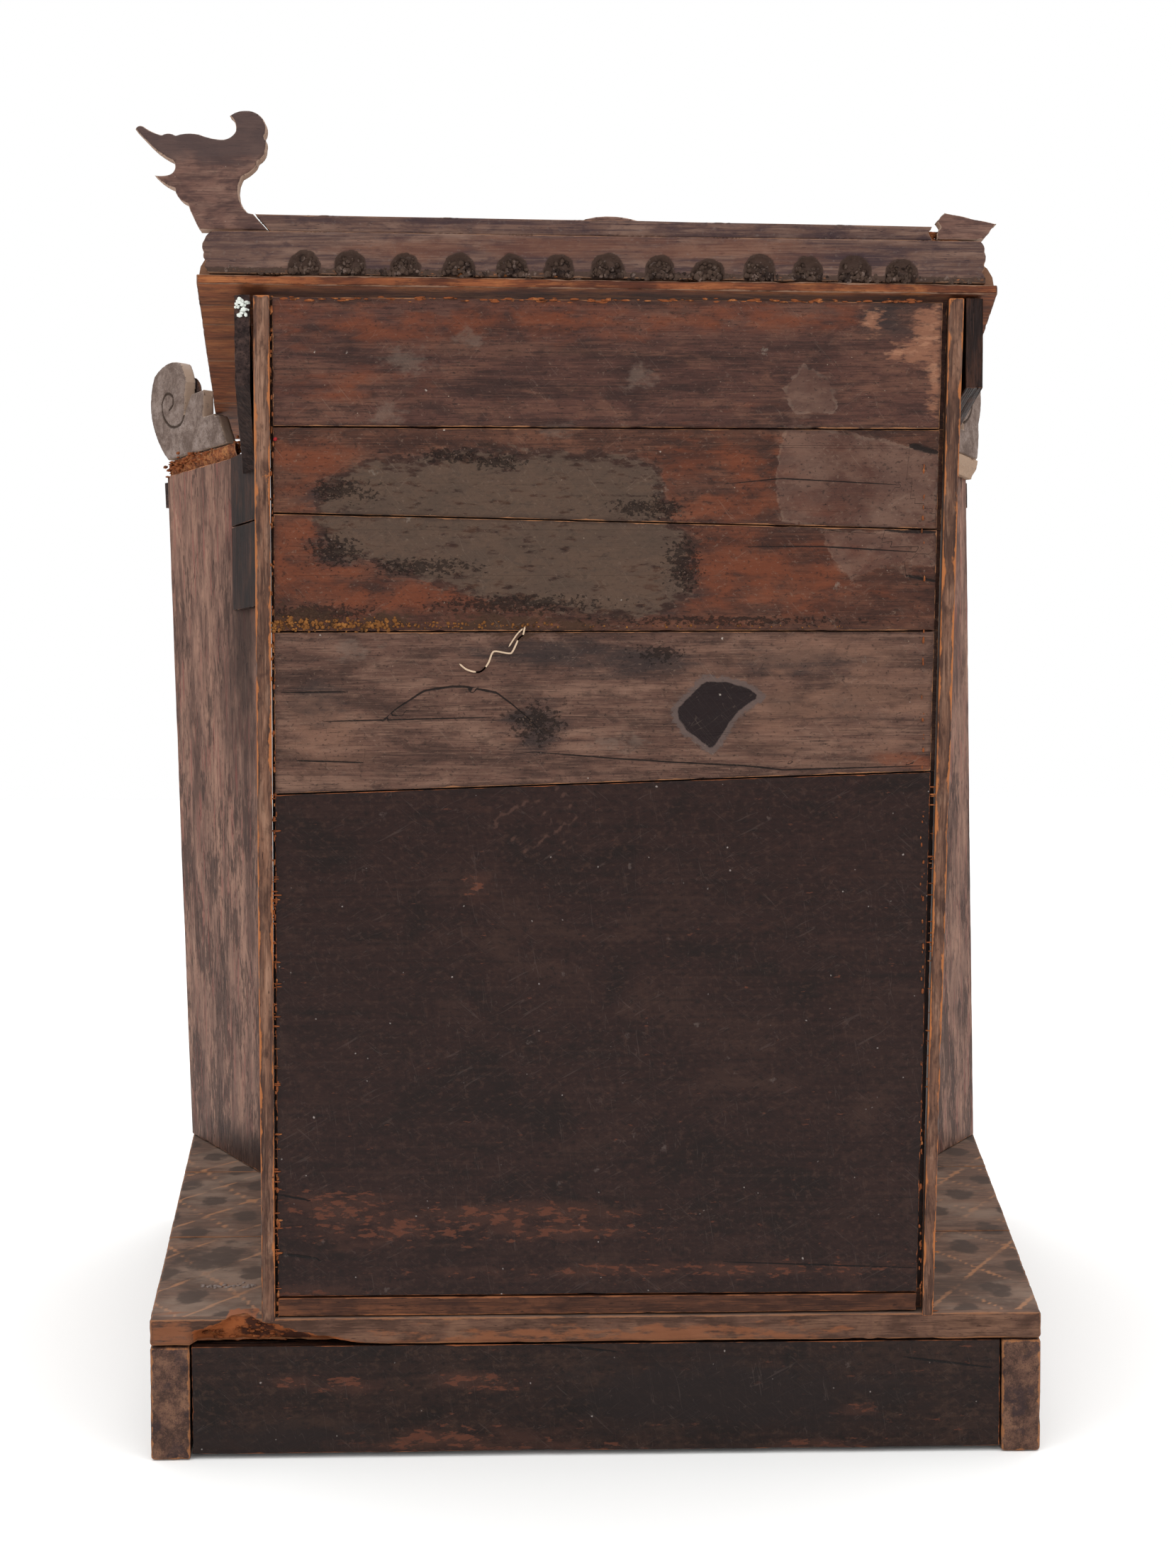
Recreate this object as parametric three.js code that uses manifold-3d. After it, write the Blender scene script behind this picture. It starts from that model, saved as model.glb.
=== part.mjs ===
// A portable shrine of joined wooden boards, seen square on from behind: a splayed plinth, a niche
// closed at the back by stacked boards, two splayed wings that flank the open front, and a shallow
// roof with fretwork finials, one of them broken off.
// Millimetres. X runs across, Y from the board back to the open front, Z up from the floor.
import * as THREE from 'three';
import { mergeVertices } from 'three/addons/utils/BufferGeometryUtils.js';
import Module from 'manifold-3d';

const wasm = await Module();
wasm.setup();

// ---------------------------------------------------------------- driving dimensions
const GAP = 0.3; // clearance left between pieces that touch

const BASE = {
  halfWidth: 220, // at the back; it widens forward by flare mm for each mm
  flare: 0.171,
  depth: 400,
  height: 70.5,
  topThickness: 13.8,
  topJoints: [128, 262],
  topArris: 3, // worn edge of the top
  sideThickness: 20,
  railThickness: 18,
  railLift: 2.5, // the rails clear the floor by this much
  housing: 2.5, // depth of the groove that each niche wall stands in
};

const NICHE = {
  depth: 250,
  flare: 0.18,
  wallTop: 568.4,
  // outer and inner face of each wall at the back, at its foot and at its top
  left: { foot: [-165.2, -158], top: [-165.6, -157.2] },
  right: { foot: [160, 166.2], top: [171, 179] },
  backRecess: 1.8, // the back boards sit this far inside the walls' back edges
  boardThickness: 8,
  shrinkGap: [0.8, 2.2], // at the left and right ends of the back boards
  tongueFrom: 4, // depth of that gap
};

// The joints of the back boards, from the bottom up: height at the left end and at the right end.
const BACK_JOINTS = [
  [70.8, 70.8],
  [80.1, 79.8],
  [327.4, 338],
  [406.4, 406.8],
  [463.8, 456.2],
  [505.4, 504.8],
  [568, 566.6],
];

const WING = {
  thickness: 8,
  scrollThickness: 9,
  leafThickness: 4,
  gapToWall: 1.6,
  // Outer face on the plinth from the niche to the free end, the panel's top, how far its free end leans
  // out for each mm of height, and how far the cap and the scroll above it turn out.
  left: { foot: [-211, 251.8], end: [-282.7, 359.7], top: 540, lean: 14 / 480, capLean: 14 / 480 },
  right: { foot: [210.6, 248.4], end: [278.2, 342.1], top: 538, lean: -8.2 / 480, capLean: -1 / 480 },
  // Each cap's start along the wing, its height, how far it stands proud of the outer face, the inner
  // face and the free end, broken short there on the left.
  leftCap: { from: 30, height: 10, outer: 0.5, inner: 0.5, end: -4 },
  rightCap: { from: 42, height: 12.5, outer: 1.5, inner: 7, end: 1.5 },
  // The end of each scroll's foot and the reach of its volute, past the free end.
  leftScroll: { foot: -2, reach: 25 },
  rightScroll: { foot: 3, reach: 7 },
  friezeBottom: 518,
  friezeHeight: 18,
  friezeThickness: 4,
  friezeReturn: { left: 6, right: 5 }, // it turns round the free edge and stands this far off it
};

const BEAM = { bottom: 524.8, top: 569.2, thickness: 8.4, left: 330, right: 330 };

const ROOF = {
  underside: 571.35, // of the soffit on the middle line
  sag: 0.009, // the whole roof has sunk to the right by this angle, in radians
  soffit: 5.1,
  left: 192.6,
  right: 195,
  flare: 0.187,
  depth: 396,
  joints: [38, 75, 155, 270],
  fasciaTop: 26.1,
  fasciaThickness: 10,
  ridgeTop: [34.6, 33.2], // at the left end and at the right end
};

// The mortises along the fascia's foot, cut by eye and so unevenly spaced.
const MORTISE = {
  centres: [-140.7, -118, -92.5, -66.3, -41, -18, 4.7, 30.7, 54.1, 78.6, 102, 125.5, 148.1],
  width: 14,
  height: 11,
  depth: 3.5,
};

const LINTEL = { bottom: 538, rise: 14, top: 569, thickness: 10, lobes: 7 };

const MOULDING = { width: 18, height: 14, radius: 12 };
const COVER = { thickness: 5.7, joints: [110, 205, 300], inset: 14 };
const CREST = { back: 12, thickness: 6 };

// ---------------------------------------------------------------- materials
const paint = (name, color, roughness) =>
  new THREE.MeshStandardMaterial({ name, color, roughness, metalness: 0 });
const WOOD = {
  brown: paint('aged_brown_wood', 0x54392d, 0.62),
  dark: paint('blackened_wood', 0x2e2323, 0.5),
  raw: paint('raw_orange_wood', 0x7c4a2a, 0.75),
  red: paint('red_stained_wood', 0x6b4038, 0.6),
  grey: paint('dusty_grey_wood', 0x6a605c, 0.8),
};

const shrine = new THREE.Group();
const roof = new THREE.Group();
roof.position.z = ROOF.underside;
roof.rotation.y = ROOF.sag;
roof.updateMatrix();
shrine.add(roof);

// ---------------------------------------------------------------- solids
const lerp = THREE.MathUtils.lerp;
const valueAt = (value, ...where) => (typeof value === 'function' ? value(...where) : value);

// Only positions kept and shared vertices merged.
function welded(geometry) {
  const bare = geometry.clone();
  for (const name of Object.keys(bare.attributes)) if (name !== 'position') bare.deleteAttribute(name);
  return mergeVertices(bare, 1e-4);
}

// Every triangle turned round, for a shape that was built mirrored.
function reversed(geometry) {
  const { index } = geometry;
  for (let i = 0; i < index.count; i += 3) {
    const first = index.getX(i);
    index.setX(i, index.getX(i + 1));
    index.setX(i + 1, first);
  }
  return geometry;
}

// Carried by a matrix, with its faces still pointing out where the matrix mirrors it.
function carried(geometry, matrix) {
  const moved = welded(geometry).applyMatrix4(matrix);
  return matrix.determinant() < 0 ? reversed(moved) : moved;
}

function toSolid(geometry) {
  const mesh = welded(geometry);
  return new wasm.Manifold(new wasm.Mesh({
    numProp: 3,
    vertProperties: new Float32Array(mesh.attributes.position.array),
    triVerts: new Uint32Array(mesh.index.array),
  }));
}

function toGeometry(solid) {
  const mesh = solid.getMesh();
  const result = new THREE.BufferGeometry();
  result.setAttribute('position', new THREE.BufferAttribute(mesh.vertProperties, 3));
  result.setIndex(new THREE.BufferAttribute(mesh.triVerts, 1));
  return result;
}

const joined = (...parts) => toGeometry(parts.map(toSolid).reduce((whole, part) => whole.add(part)));
const cut = (geometry, ...cutters) =>
  toGeometry(cutters.map(toSolid).reduce((whole, cutter) => whole.subtract(cutter), toSolid(geometry)));

// A board between x[0] and x[1], y[0] and y[1], z[0] and z[1]. The ends in y are numbers, those in z
// may follow the fraction u across the board, and those in x may follow y and the fraction w up it.
function board({ x, y, z }, steps = [1, 1, 1]) {
  const box = new THREE.BoxGeometry(1, 1, 1, ...steps);
  const place = box.attributes.position;
  for (let i = 0; i < place.count; i++) {
    const [u, v, w] = [place.getX(i), place.getY(i), place.getZ(i)].map((t) => t + 0.5);
    const across = lerp(y[0], y[1], v);
    place.setXYZ(
      i,
      lerp(valueAt(x[0], across, w), valueAt(x[1], across, w), u),
      across,
      lerp(valueAt(z[0], u), valueAt(z[1], u), w),
    );
  }
  return box;
}

// A closed outline through corners [x, y, bulge]. The side after a corner is an arc that swells to its
// right by bulge times half its length (a negative bulge swells to its left), or straight where it is 0.
function arcOutline(corners, arcSteps = 5) {
  const points = [];
  corners.forEach(([x, y, bulge = 0], i) => {
    const [nextX, nextY] = corners[(i + 1) % corners.length];
    points.push(new THREE.Vector2(x, y));
    if (bulge === 0) return;
    const half = new THREE.Vector2((nextX - x) / 2, (nextY - y) / 2);
    const reach = (1 - bulge * bulge) / (2 * bulge);
    const centre = new THREE.Vector2(x + half.x + half.y * reach, y + half.y - half.x * reach);
    const turn = -4 * Math.atan(bulge);
    const start = new THREE.Vector2(x, y).sub(centre);
    for (let k = 1; k < arcSteps; k++) {
      points.push(start.clone().rotateAround(new THREE.Vector2(), (turn * k) / arcSteps).add(centre));
    }
  });
  return new THREE.Shape(points);
}

// An outline in X and Z, given thickness from y = back towards the front.
const upright = (shape, back, thickness) => carried(
  new THREE.ExtrudeGeometry(shape, { depth: thickness, bevelEnabled: false }),
  new THREE.Matrix4().set(1, 0, 0, 0, 0, 0, 1, back, 0, 1, 0, 0, 0, 0, 0, 1),
);

function add(name, geometry, wood, parent = shrine) {
  const mesh = new THREE.Mesh(welded(geometry), wood);
  mesh.name = name;
  parent.add(mesh);
}

const SIDES = [['left', -1], ['right', 1]];

// ---------------------------------------------------------------- plinth
const plinthEdge = (sign, inset = 0) => (y) => sign * (BASE.halfWidth - inset + BASE.flare * y);
const plinthTopUnder = BASE.height - BASE.topThickness;

// Each niche wall between its outer and inner face; grown makes it thicker on every side.
function nicheWall(side, sign, bottom, grown = 0) {
  const { foot, top } = NICHE[side];
  const face = (k, push) => (y, w) => {
    const rise = (bottom - BASE.height) / (NICHE.wallTop - BASE.height);
    const height = lerp(rise, 1, w);
    const racked = lerp(top[k], foot[k], Math.min(1, Math.max(0, y) / NICHE.depth));
    return lerp(foot[k], racked, height) + sign * NICHE.flare * y + push;
  };
  return board({
    x: [face(0, -grown), face(1, grown)],
    y: [-grown, NICHE.depth + grown],
    z: [bottom - grown, NICHE.wallTop + grown],
  });
}

const housings = SIDES.map(([side, sign]) =>
  nicheWall(side, sign, BASE.height - BASE.housing, GAP));

// The torn-out lower back corner of the plinth's top, left of the niche.
const cornerBreak = upright(
  arcOutline([[-199.4, 55], [-199, 63.5], [-188, 66.5], [-180.5, 71], [-173, 71.5], [-165, 68.2],
    [-146.5, 62.5], [-118, 57.6], [-92, 55]]),
  -1,
  10,
);

function plinthTop(front, back) {
  const edge = (sign) => (y, w) => plinthEdge(sign)(y) - sign * BASE.topArris * Math.max(0, 3 * w - 2);
  return board(
    {
      x: [edge(-1), edge(1)],
      y: [back, front],
      z: [plinthTopUnder, BASE.height],
    },
    [1, 1, 3],
  );
}

function makePlinth() {
  for (const [side, sign] of SIDES) {
    const outer = plinthEdge(sign);
    const inner = plinthEdge(sign, BASE.sideThickness);
    add(
      `base_side_board_${side}`,
      board({
        x: sign < 0 ? [outer, inner] : [inner, outer],
        y: [0, BASE.depth],
        z: [0, plinthTopUnder - GAP],
      }),
      WOOD.brown,
    );
  }
  const inset = BASE.sideThickness + GAP;
  const rail = (back) => board({
    x: [plinthEdge(-1, inset), plinthEdge(1, inset)],
    y: [back, back + BASE.railThickness],
    z: [BASE.railLift, plinthTopUnder - GAP],
  });
  add('base_back_rail', rail(1), WOOD.dark);
  add('base_front_rail', rail(BASE.depth - 1 - BASE.railThickness), WOOD.dark);

  const stops = [0, ...BASE.topJoints, BASE.depth];
  ['rear', 'middle', 'front'].forEach((name, i) => {
    const back = stops[i] + (i ? GAP : 0);
    const tools = name === 'rear' ? [...housings, cornerBreak] : housings;
    add(`base_top_board_${name}`, cut(plinthTop(stops[i + 1], back), ...tools), WOOD.brown);
  });
}

// ---------------------------------------------------------------- niche
function makeNiche() {
  for (const [side, sign] of SIDES) {
    add(`niche_wall_${side}`, nicheWall(side, sign, BASE.height - BASE.housing), WOOD.brown);
  }
  // The back boards have shrunk at their outer ends; a tongue behind still reaches each wall.
  const names = ['bottom_strip', 'lower_panel', 'plank_1', 'plank_2', 'plank_3', 'plank_4'];
  const woods = [WOOD.raw, WOOD.dark, WOOD.brown, WOOD.red, WOOD.brown, WOOD.red];
  const wallFace = (side, k, z, y) => {
    const { foot, top } = NICHE[side];
    const height = (z - BASE.height) / (NICHE.wallTop - BASE.height);
    const rack = Math.min(1, y / NICHE.depth);
    return lerp(foot[k], lerp(top[k], foot[k], rack), height);
  };
  names.forEach((name, i) => {
    const [bottom, top] = [BACK_JOINTS[i], BACK_JOINTS[i + 1]];
    const layer = (back, front, gaps) => board({
      x: [
        (y, w) => wallFace('left', 1, lerp(bottom[0], top[0], w), y) - NICHE.flare * y + gaps[0],
        (y, w) => wallFace('right', 0, lerp(bottom[1], top[1], w), y) + NICHE.flare * y - gaps[1],
      ],
      y: [back, front],
      z: [(u) => lerp(...bottom, u) + (i ? GAP : 0), (u) => lerp(...top, u)],
    });
    const back = NICHE.backRecess - (name === 'bottom_strip' ? 0.6 : 0);
    const tongue = NICHE.backRecess + NICHE.tongueFrom;
    add(
      `back_${name}`,
      cut(
        joined(
          layer(back, tongue + 1, NICHE.shrinkGap),
          layer(tongue, NICHE.backRecess + NICHE.boardThickness, [-1, -1]),
        ),
        ...SIDES.map(([side, sign]) => nicheWall(side, sign, BASE.height - BASE.housing, GAP)),
      ),
      woods[i],
    );
  });

  // A scalloped lintel closes the head of the niche at the open front.
  const { lobes, bottom, rise, top, thickness } = LINTEL;
  const lintelBack = NICHE.depth - thickness - 4;
  const halfLeft = -NICHE.left.foot[1] + NICHE.flare * lintelBack - GAP;
  const halfRight = NICHE.right.foot[0] + NICHE.flare * lintelBack - GAP;
  const lobe = (halfLeft + halfRight) / lobes;
  const scallops = Array.from({ length: lobes + 1 }, (_, i) => [
    halfRight - i * lobe,
    bottom - rise * Math.abs(i - lobes / 2) * (2 / lobes),
    i < lobes ? 0.55 : 0,
  ]);
  add(
    'niche_front_lintel',
    upright(arcOutline([[-halfLeft, top], [halfRight, top], ...scallops]), lintelBack, thickness),
    WOOD.brown,
  );
}

// ---------------------------------------------------------------- side beams
const beamSlope = NICHE.flare + 0.004;

function sideBeam(side, sign, grown = 0) {
  const { foot, top } = NICHE[side];
  const face = side === 'left' ? Math.min(foot[0], top[0]) : foot[1];
  // Each beam clears its wall, racked at the back as the wall is.
  const rack = side === 'left' ? 0 : top[1] - foot[1];
  const inner = (y) => face + rack * (1 - Math.min(y / NICHE.depth, 1)) + sign * (beamSlope * y + 0.8);
  const near = (y) => inner(y) - sign * grown;
  const far = (y) => inner(y) + sign * (BEAM.thickness + grown);
  return board(
    {
      x: sign < 0 ? [far, near] : [near, far],
      y: [2 - grown, BEAM[side] + grown],
      z: [BEAM.bottom - grown, BEAM.top + grown],
    },
    [1, 4, 1],
  );
}

function makeBeams() {
  for (const [side, sign] of SIDES) add(`side_beam_${side}`, sideBeam(side, sign), WOOD.dark);
}

// ---------------------------------------------------------------- wings
// Each wing stands on the line from its foot beside the niche to its free end. It has warped: its
// near edge is upright and its free end leans.
function wingLine(side, sign, level, lean = WING[side].lean) {
  const { foot, end } = WING[side];
  const start = new THREE.Vector3(foot[0], foot[1], 0);
  const span = new THREE.Vector3(end[0] - foot[0], end[1] - foot[1], 0);
  const across = (v) => new THREE.Vector3(sign * v.y, -sign * v.x, 0).normalize();
  span.addScaledVector(across(span), lean * (level - BASE.height));
  return { start, along: span.clone().normalize(), outward: across(span), length: span.length() };
}

// A slab of the warped wing from s[0] to s[1] along it, t[0] to t[1] through it and z[0] to z[1] up it.
function wingSlab(side, sign, { s, t, z }, steps = [4, 1, 4]) {
  const box = new THREE.BoxGeometry(1, 1, 1, ...steps);
  const place = box.attributes.position;
  const full = wingLine(side, sign, BASE.height).length;
  for (let i = 0; i < place.count; i++) {
    const [u, v, w] = [place.getX(i), place.getY(i), place.getZ(i)].map((value) => value + 0.5);
    const level = lerp(z[0], z[1], w);
    const { start, along, outward, length } = wingLine(side, sign, level);
    const point = start.addScaledVector(along, (lerp(s[0], s[1], u) * length) / full)
      .addScaledVector(outward, -lerp(t[0], t[1], v));
    place.setXYZ(i, point.x, point.y, level);
  }
  const solid = welded(box);
  return sign < 0 ? reversed(solid) : solid;
}

// The line that the cap and the scroll follow on top of the panel.
const capLine = (side, sign) => wingLine(side, sign, WING[side].top, WING[side].capLean);

// An outline in distance along that line and height, extruded through the wing towards the front.
function onWing(side, sign, shape, from, thickness) {
  const { top, capLean } = WING[side];
  const { start, along, outward } = capLine(side, sign);
  const up = outward.clone().multiplyScalar(capLean / 2).setZ(1);
  const frame = new THREE.Matrix4().makeBasis(along, up, outward.clone().negate());
  frame.setPosition(start.addScaledVector(up, -top).setZ(0));
  const slab = new THREE.ExtrudeGeometry(shape, { depth: thickness, bevelEnabled: false });
  slab.translate(0, 0, from);
  return carried(slab, frame);
}

const rectangle = (left, bottom, right, top) =>
  arcOutline([[left, bottom], [right, bottom], [right, top], [left, top]]);

// The scroll's outline, in distance along the wing and height: its foot on the cap, round the volute,
// down into the throat and back along the top. On the left its near end slants up to the roof's edge.
const SCROLL_TOP = 591.5;
const nearEnd = {
  left: (level) => [[66, SCROLL_TOP, 0], [58.8, 571, 0], [54, 571, 0], [43, level, 0]],
  right: (level) => [[46, SCROLL_TOP, 0], [42, 568.5, 0], [35, 568.5, 0], [35, level, 0]],
};
const scrollOutline = (side, length, { foot, reach }, level) => arcOutline([
  [length + foot, level, -0.12],
  [length + 0.8 * reach, 576.4, -0.3],
  [length + 0.66 * reach, 612.6, -0.22],
  [length - 24, 614.8, -0.1],
  [length - 31, 601, 0],
  [length - 27, 579, 0],
  [length - 39, 590.9, 0],
  ...nearEnd[side](level),
], 6);

// The incised spiral: it leaves the throat and winds into the eye of the volute.
function spiralGroove(length) {
  const path = new THREE.CatmullRomCurve3(
    [[-27, 580], [-19.7, 573.1], [-5.5, 573.3], [5.5, 581.4], [7.6, 591.2], [0.8, 597], [-8, 594.1],
      [-9, 588.5], [-3.4, 585.4]].map(([s, z]) => new THREE.Vector3(length + s, z, 0)),
  );
  const count = 30;
  const points = path.getSpacedPoints(count);
  const edge = (push) => points.map((point, i) => {
    const along = path.getTangentAt(i / count);
    return new THREE.Vector2(point.x - along.y * push, point.y + along.x * push);
  });
  return new THREE.Shape([...edge(0.8), ...edge(-0.8).reverse()]);
}

const roofClearance = carried(
  board({
    x: [
      (y) => -ROOF.left - ROOF.flare * y - 2 * GAP,
      (y) => ROOF.right + ROOF.flare * y + 2 * GAP,
    ],
    y: [-2, ROOF.depth + 2],
    z: [-2 * GAP, 60],
  }),
  roof.matrix,
);

function makeWings() {
  for (const [side, sign] of SIDES) {
    const { top } = WING[side];
    const panelLength = wingLine(side, sign, BASE.height).length;
    const { length } = capLine(side, sign);
    const beam = sideBeam(side, sign, GAP);
    const panel = wingSlab(side, sign, {
      s: [WING.gapToWall, panelLength],
      t: [0, WING.thickness],
      z: [BASE.height + GAP, top],
    });
    add(`wing_panel_${side}`, cut(panel, beam, nicheWall(side, sign, BASE.height, GAP)), WOOD.red);

    // The cap moulding: a neck that coves out to a square fillet, at its end as along its faces.
    const { from, height, outer, inner, end } = WING[`${side}Cap`];
    const foot = top + 2 * GAP;
    const steps = [[0, 0.25, 0.2], [0.25, 0.5, 0.6], [0.5, 1, 1]];
    const cap = steps.map(([low, high, share]) => {
      const levels = [low, high].map((fraction) => foot + fraction * (height - GAP));
      const face = rectangle(from, levels[0], length + share * end, levels[1]);
      return onWing(side, sign, face, -share * outer, WING.thickness + share * (outer + inner));
    });
    add(`wing_cap_${side}`, cut(joined(...cap), beam), WOOD.raw);

    // The frieze runs along the front face and turns round the free edge.
    const z = [WING.friezeBottom, WING.friezeBottom + WING.friezeHeight];
    const front = WING.thickness + GAP + WING.friezeThickness;
    const turn = panelLength + WING.friezeReturn[side];
    const frieze = joined(
      wingSlab(side, sign, { s: [from + 26, turn], t: [WING.thickness + GAP, front], z }),
      wingSlab(side, sign, { s: [panelLength + GAP, turn], t: [1, front], z }),
    );
    add(`wing_frieze_${side}`, cut(frieze, beam), WOOD.dark);

    const outline = scrollOutline(side, length, WING[`${side}Scroll`], foot + height);
    const scroll = onWing(side, sign, outline, 0, WING.scrollThickness);
    const groove = onWing(side, sign, spiralGroove(length), -1, 2.4);
    add(`wing_scroll_${side}`, cut(scroll, groove, roofClearance, beam), WOOD.grey);
  }
  // A small carved leaf stands on the left scroll's front face; on the right the roof covers its place.
  const { length } = capLine('left', -1);
  const leaf = arcOutline([[length - 30, 584], [length - 12, 584], [length - 14, 598, -0.3],
    [length - 22, 606, -0.3], [length - 31, 600, -0.2]]);
  const front = WING.scrollThickness + GAP;
  add('wing_leaf_left', onWing('left', -1, leaf, front, WING.leafThickness), WOOD.dark);
}

// Two triangular glue blocks stand in the outer corner between the left wing and the niche wall.
function makeCornerBlocks() {
  const wallFace = (y) => NICHE.left.top[0] - NICHE.flare * y - 2 * GAP;
  const onFace = (distance, z) => {
    const { start, along, outward } = wingLine('left', -1, z);
    return start.addScaledVector(along, distance).addScaledVector(outward, 2 * GAP);
  };
  [['lower', 438.5, 493.2], ['upper', 493.5, 539]].forEach(([name, bottom, top]) => {
    const block = new THREE.BoxGeometry(1, 1, 1);
    const place = block.attributes.position;
    for (let i = 0; i < place.count; i++) {
      const level = place.getZ(i) > 0 ? top : bottom;
      const [near, far] = [onFace(3, level), onFace(34, level)];
      const back = [[far.x, far.y - 4], [wallFace(234), 234]];
      const front = [[far.x, far.y], [wallFace(near.y - 2), near.y - 2]];
      const [x, y] = (place.getY(i) > 0 ? front : back)[place.getX(i) > 0 ? 1 : 0];
      place.setXYZ(i, x, y, level);
    }
    const wing = wingSlab('left', -1, { s: [0, 60], t: [-2 * GAP, 8], z: [BASE.height, WING.left.top] });
    add(`corner_block_${name}`, cut(block, wing, sideBeam('left', -1, GAP)), WOOD.dark);
  });
}

// ---------------------------------------------------------------- roof, measured up from its soffit
const roofEdge = (sign, inset = 0) => (y) =>
  sign * ((sign < 0 ? ROOF.left : ROOF.right) - inset + ROOF.flare * y);

function makeRoof() {
  const stops = [0, ...ROOF.joints, ROOF.depth];
  for (let i = 0; i + 1 < stops.length; i++) {
    add(
      `soffit_board_${i + 1}`,
      board({
        x: [roofEdge(-1), roofEdge(1)],
        y: [stops[i] + (i ? GAP : 0), stops[i + 1]],
        z: [0, ROOF.soffit],
      }),
      WOOD.raw,
      roof,
    );
  }

  // The rear fascia: wavy moulded ends, and a row of round-headed mortises along its foot.
  const foot = ROOF.soffit + GAP;
  const fasciaOutline = arcOutline([
    [-187, foot, 0.25], [-188.6, 11.6, 0.35], [-189.3, 15.5, 0.35], [-189, 21.6, 0.3],
    [-184.5, ROOF.fasciaTop, 0], [186.4, ROOF.fasciaTop, 0.3], [188.6, 20.6, 0.3],
    [188.4, 14.6, 0.4], [187.6, 10.8, 0.2], [189.4, foot, 0],
  ], 3);
  const half = MORTISE.width / 2;
  const shoulder = foot + MORTISE.height - half;
  const mortises = MORTISE.centres.map((x) => upright(
    arcOutline([[x - half, foot - 1], [x + half, foot - 1], [x + half, shoulder, -1],
      [x - half, shoulder]], 6),
    -1,
    1 + MORTISE.depth,
  ));
  const fascia = upright(fasciaOutline, 0, ROOF.fasciaThickness);
  add('rear_fascia', cut(fascia, ...mortises), WOOD.brown, roof);

  // The ridge strip is scarfed to the foot of the left finial and broken short at the right.
  const seat = ROOF.fasciaTop + GAP;
  add(
    'ridge_strip',
    upright(arcOutline([[-157.4, seat], [163.8, seat], [161.4, 30.4], [163.4, ROOF.ridgeTop[1]],
      [-165, ROOF.ridgeTop[0]]]), 1.4, 7.4),
    WOOD.brown,
    roof,
  );
  add('finial_left', upright(finialOutline(seat), 1.6, 7), WOOD.grey, roof);
  add('finial_stub_right', upright(arcOutline([[165, seat], [183.5, seat], [189, 27.4],
    [194.6, 35], [168.9, 40.4], [164.8, 36], [166.8, 33], [165, 30]]), 1.6, 7), WOOD.brown, roof);

  // A low round-headed crest stands behind the middle of the ridge.
  const crest = arcOutline([[-12, 12.2], [24, 12.2], [24, 35], [20.3, 37.4, -0.14], [-5.6, 37.9],
    [-12, 34]]);
  add('roof_crest', upright(crest, CREST.back, CREST.thickness), WOOD.red, roof);

  // An ovolo moulding runs along each side above the soffit, and a plain fascia closes the front.
  const { width, height, radius } = MOULDING;
  const quarter = Array.from({ length: 5 }, (_, i) => {
    const angle = (Math.PI / 8) * i;
    const rise = 1 + (height - 1) * Math.sin(angle);
    return [radius * (1 - Math.cos(angle)), foot + rise];
  });
  const profile = [[0, foot], ...quarter, [width, foot + height], [width, foot]];
  for (const [side, sign] of SIDES) {
    const edge = roofEdge(sign, 1);
    const moulding = new THREE.ExtrudeGeometry(
      new THREE.Shape(profile.map(([inward, z]) => new THREE.Vector2(inward, z))),
      { depth: 1, bevelEnabled: false },
    );
    const place = moulding.attributes.position;
    const from = ROOF.fasciaThickness + GAP;
    const to = ROOF.depth - ROOF.fasciaThickness - GAP;
    for (let i = 0; i < place.count; i++) {
      const y = lerp(from, to, place.getZ(i));
      place.setXYZ(i, edge(y) - sign * place.getX(i), y, place.getY(i));
    }
    const solid = welded(moulding);
    add(`roof_moulding_${side}`, sign < 0 ? reversed(solid) : solid, WOOD.brown, roof);
  }
  add(
    'front_fascia',
    board({
      x: [roofEdge(-1), roofEdge(1)],
      y: [ROOF.depth - ROOF.fasciaThickness, ROOF.depth],
      z: [foot, ROOF.fasciaTop],
    }),
    WOOD.brown,
    roof,
  );

  // Boards close the roof from above, between the crest and the front fascia.
  const covers = [
    CREST.back + CREST.thickness + GAP,
    ...COVER.joints,
    ROOF.depth - ROOF.fasciaThickness - GAP,
  ];
  const coverFoot = foot + height + GAP;
  for (let i = 0; i + 1 < covers.length; i++) {
    add(
      `roof_board_${i + 1}`,
      board({
        x: [roofEdge(-1, COVER.inset), roofEdge(1, COVER.inset)],
        y: [covers[i] + (i ? GAP : 0), covers[i + 1]],
        z: [coverFoot, coverFoot + COVER.thickness],
      }),
      WOOD.brown,
      roof,
    );
  }
}

// The fretwork finial: a cloud scroll that opens to the left like a beak, with a hooked crest.
const finialOutline = (seat) => arcOutline([
  [-158, seat, 0], [-165.6, 34.8, 0], [-168.2, 35.2, 0.35], [-170.9, 51.9, -0.1],
  [-164.8, 56.5, -0.15], [-163.5, 59.4, -0.3], [-159.4, 66.5, -0.25], [-160.3, 71.2, -0.3],
  [-160.6, 79.6, -0.28], [-169.8, 83.9, -0.18], [-177.2, 81.1, 0.3], [-174.3, 73.9, 0.3],
  [-181.6, 70.1, 0.08], [-191.2, 72.2, -0.15], [-202.9, 71.6, -0.3], [-209.5, 71.7, 0.1],
  [-218.3, 75.7, -0.5], [-222.3, 74, 0], [-215.4, 66.9, -0.1], [-204.1, 59.1, 0.55],
  [-206.2, 52.8, 0.1], [-213.2, 52.5, -0.12], [-203.4, 45.9, -0.3], [-197.2, 39, -0.05],
  [-191.4, seat, 0],
]);

makePlinth();
makeNiche();
makeBeams();
makeWings();
makeCornerBlocks();
makeRoof();

// The origin is on the floor, under the middle of the whole shrine's box.
const extent = new THREE.Box3().setFromObject(shrine);
const middle = extent.getCenter(new THREE.Vector3());
shrine.position.set(-middle.x, -middle.y, -extent.min.z);

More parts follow.
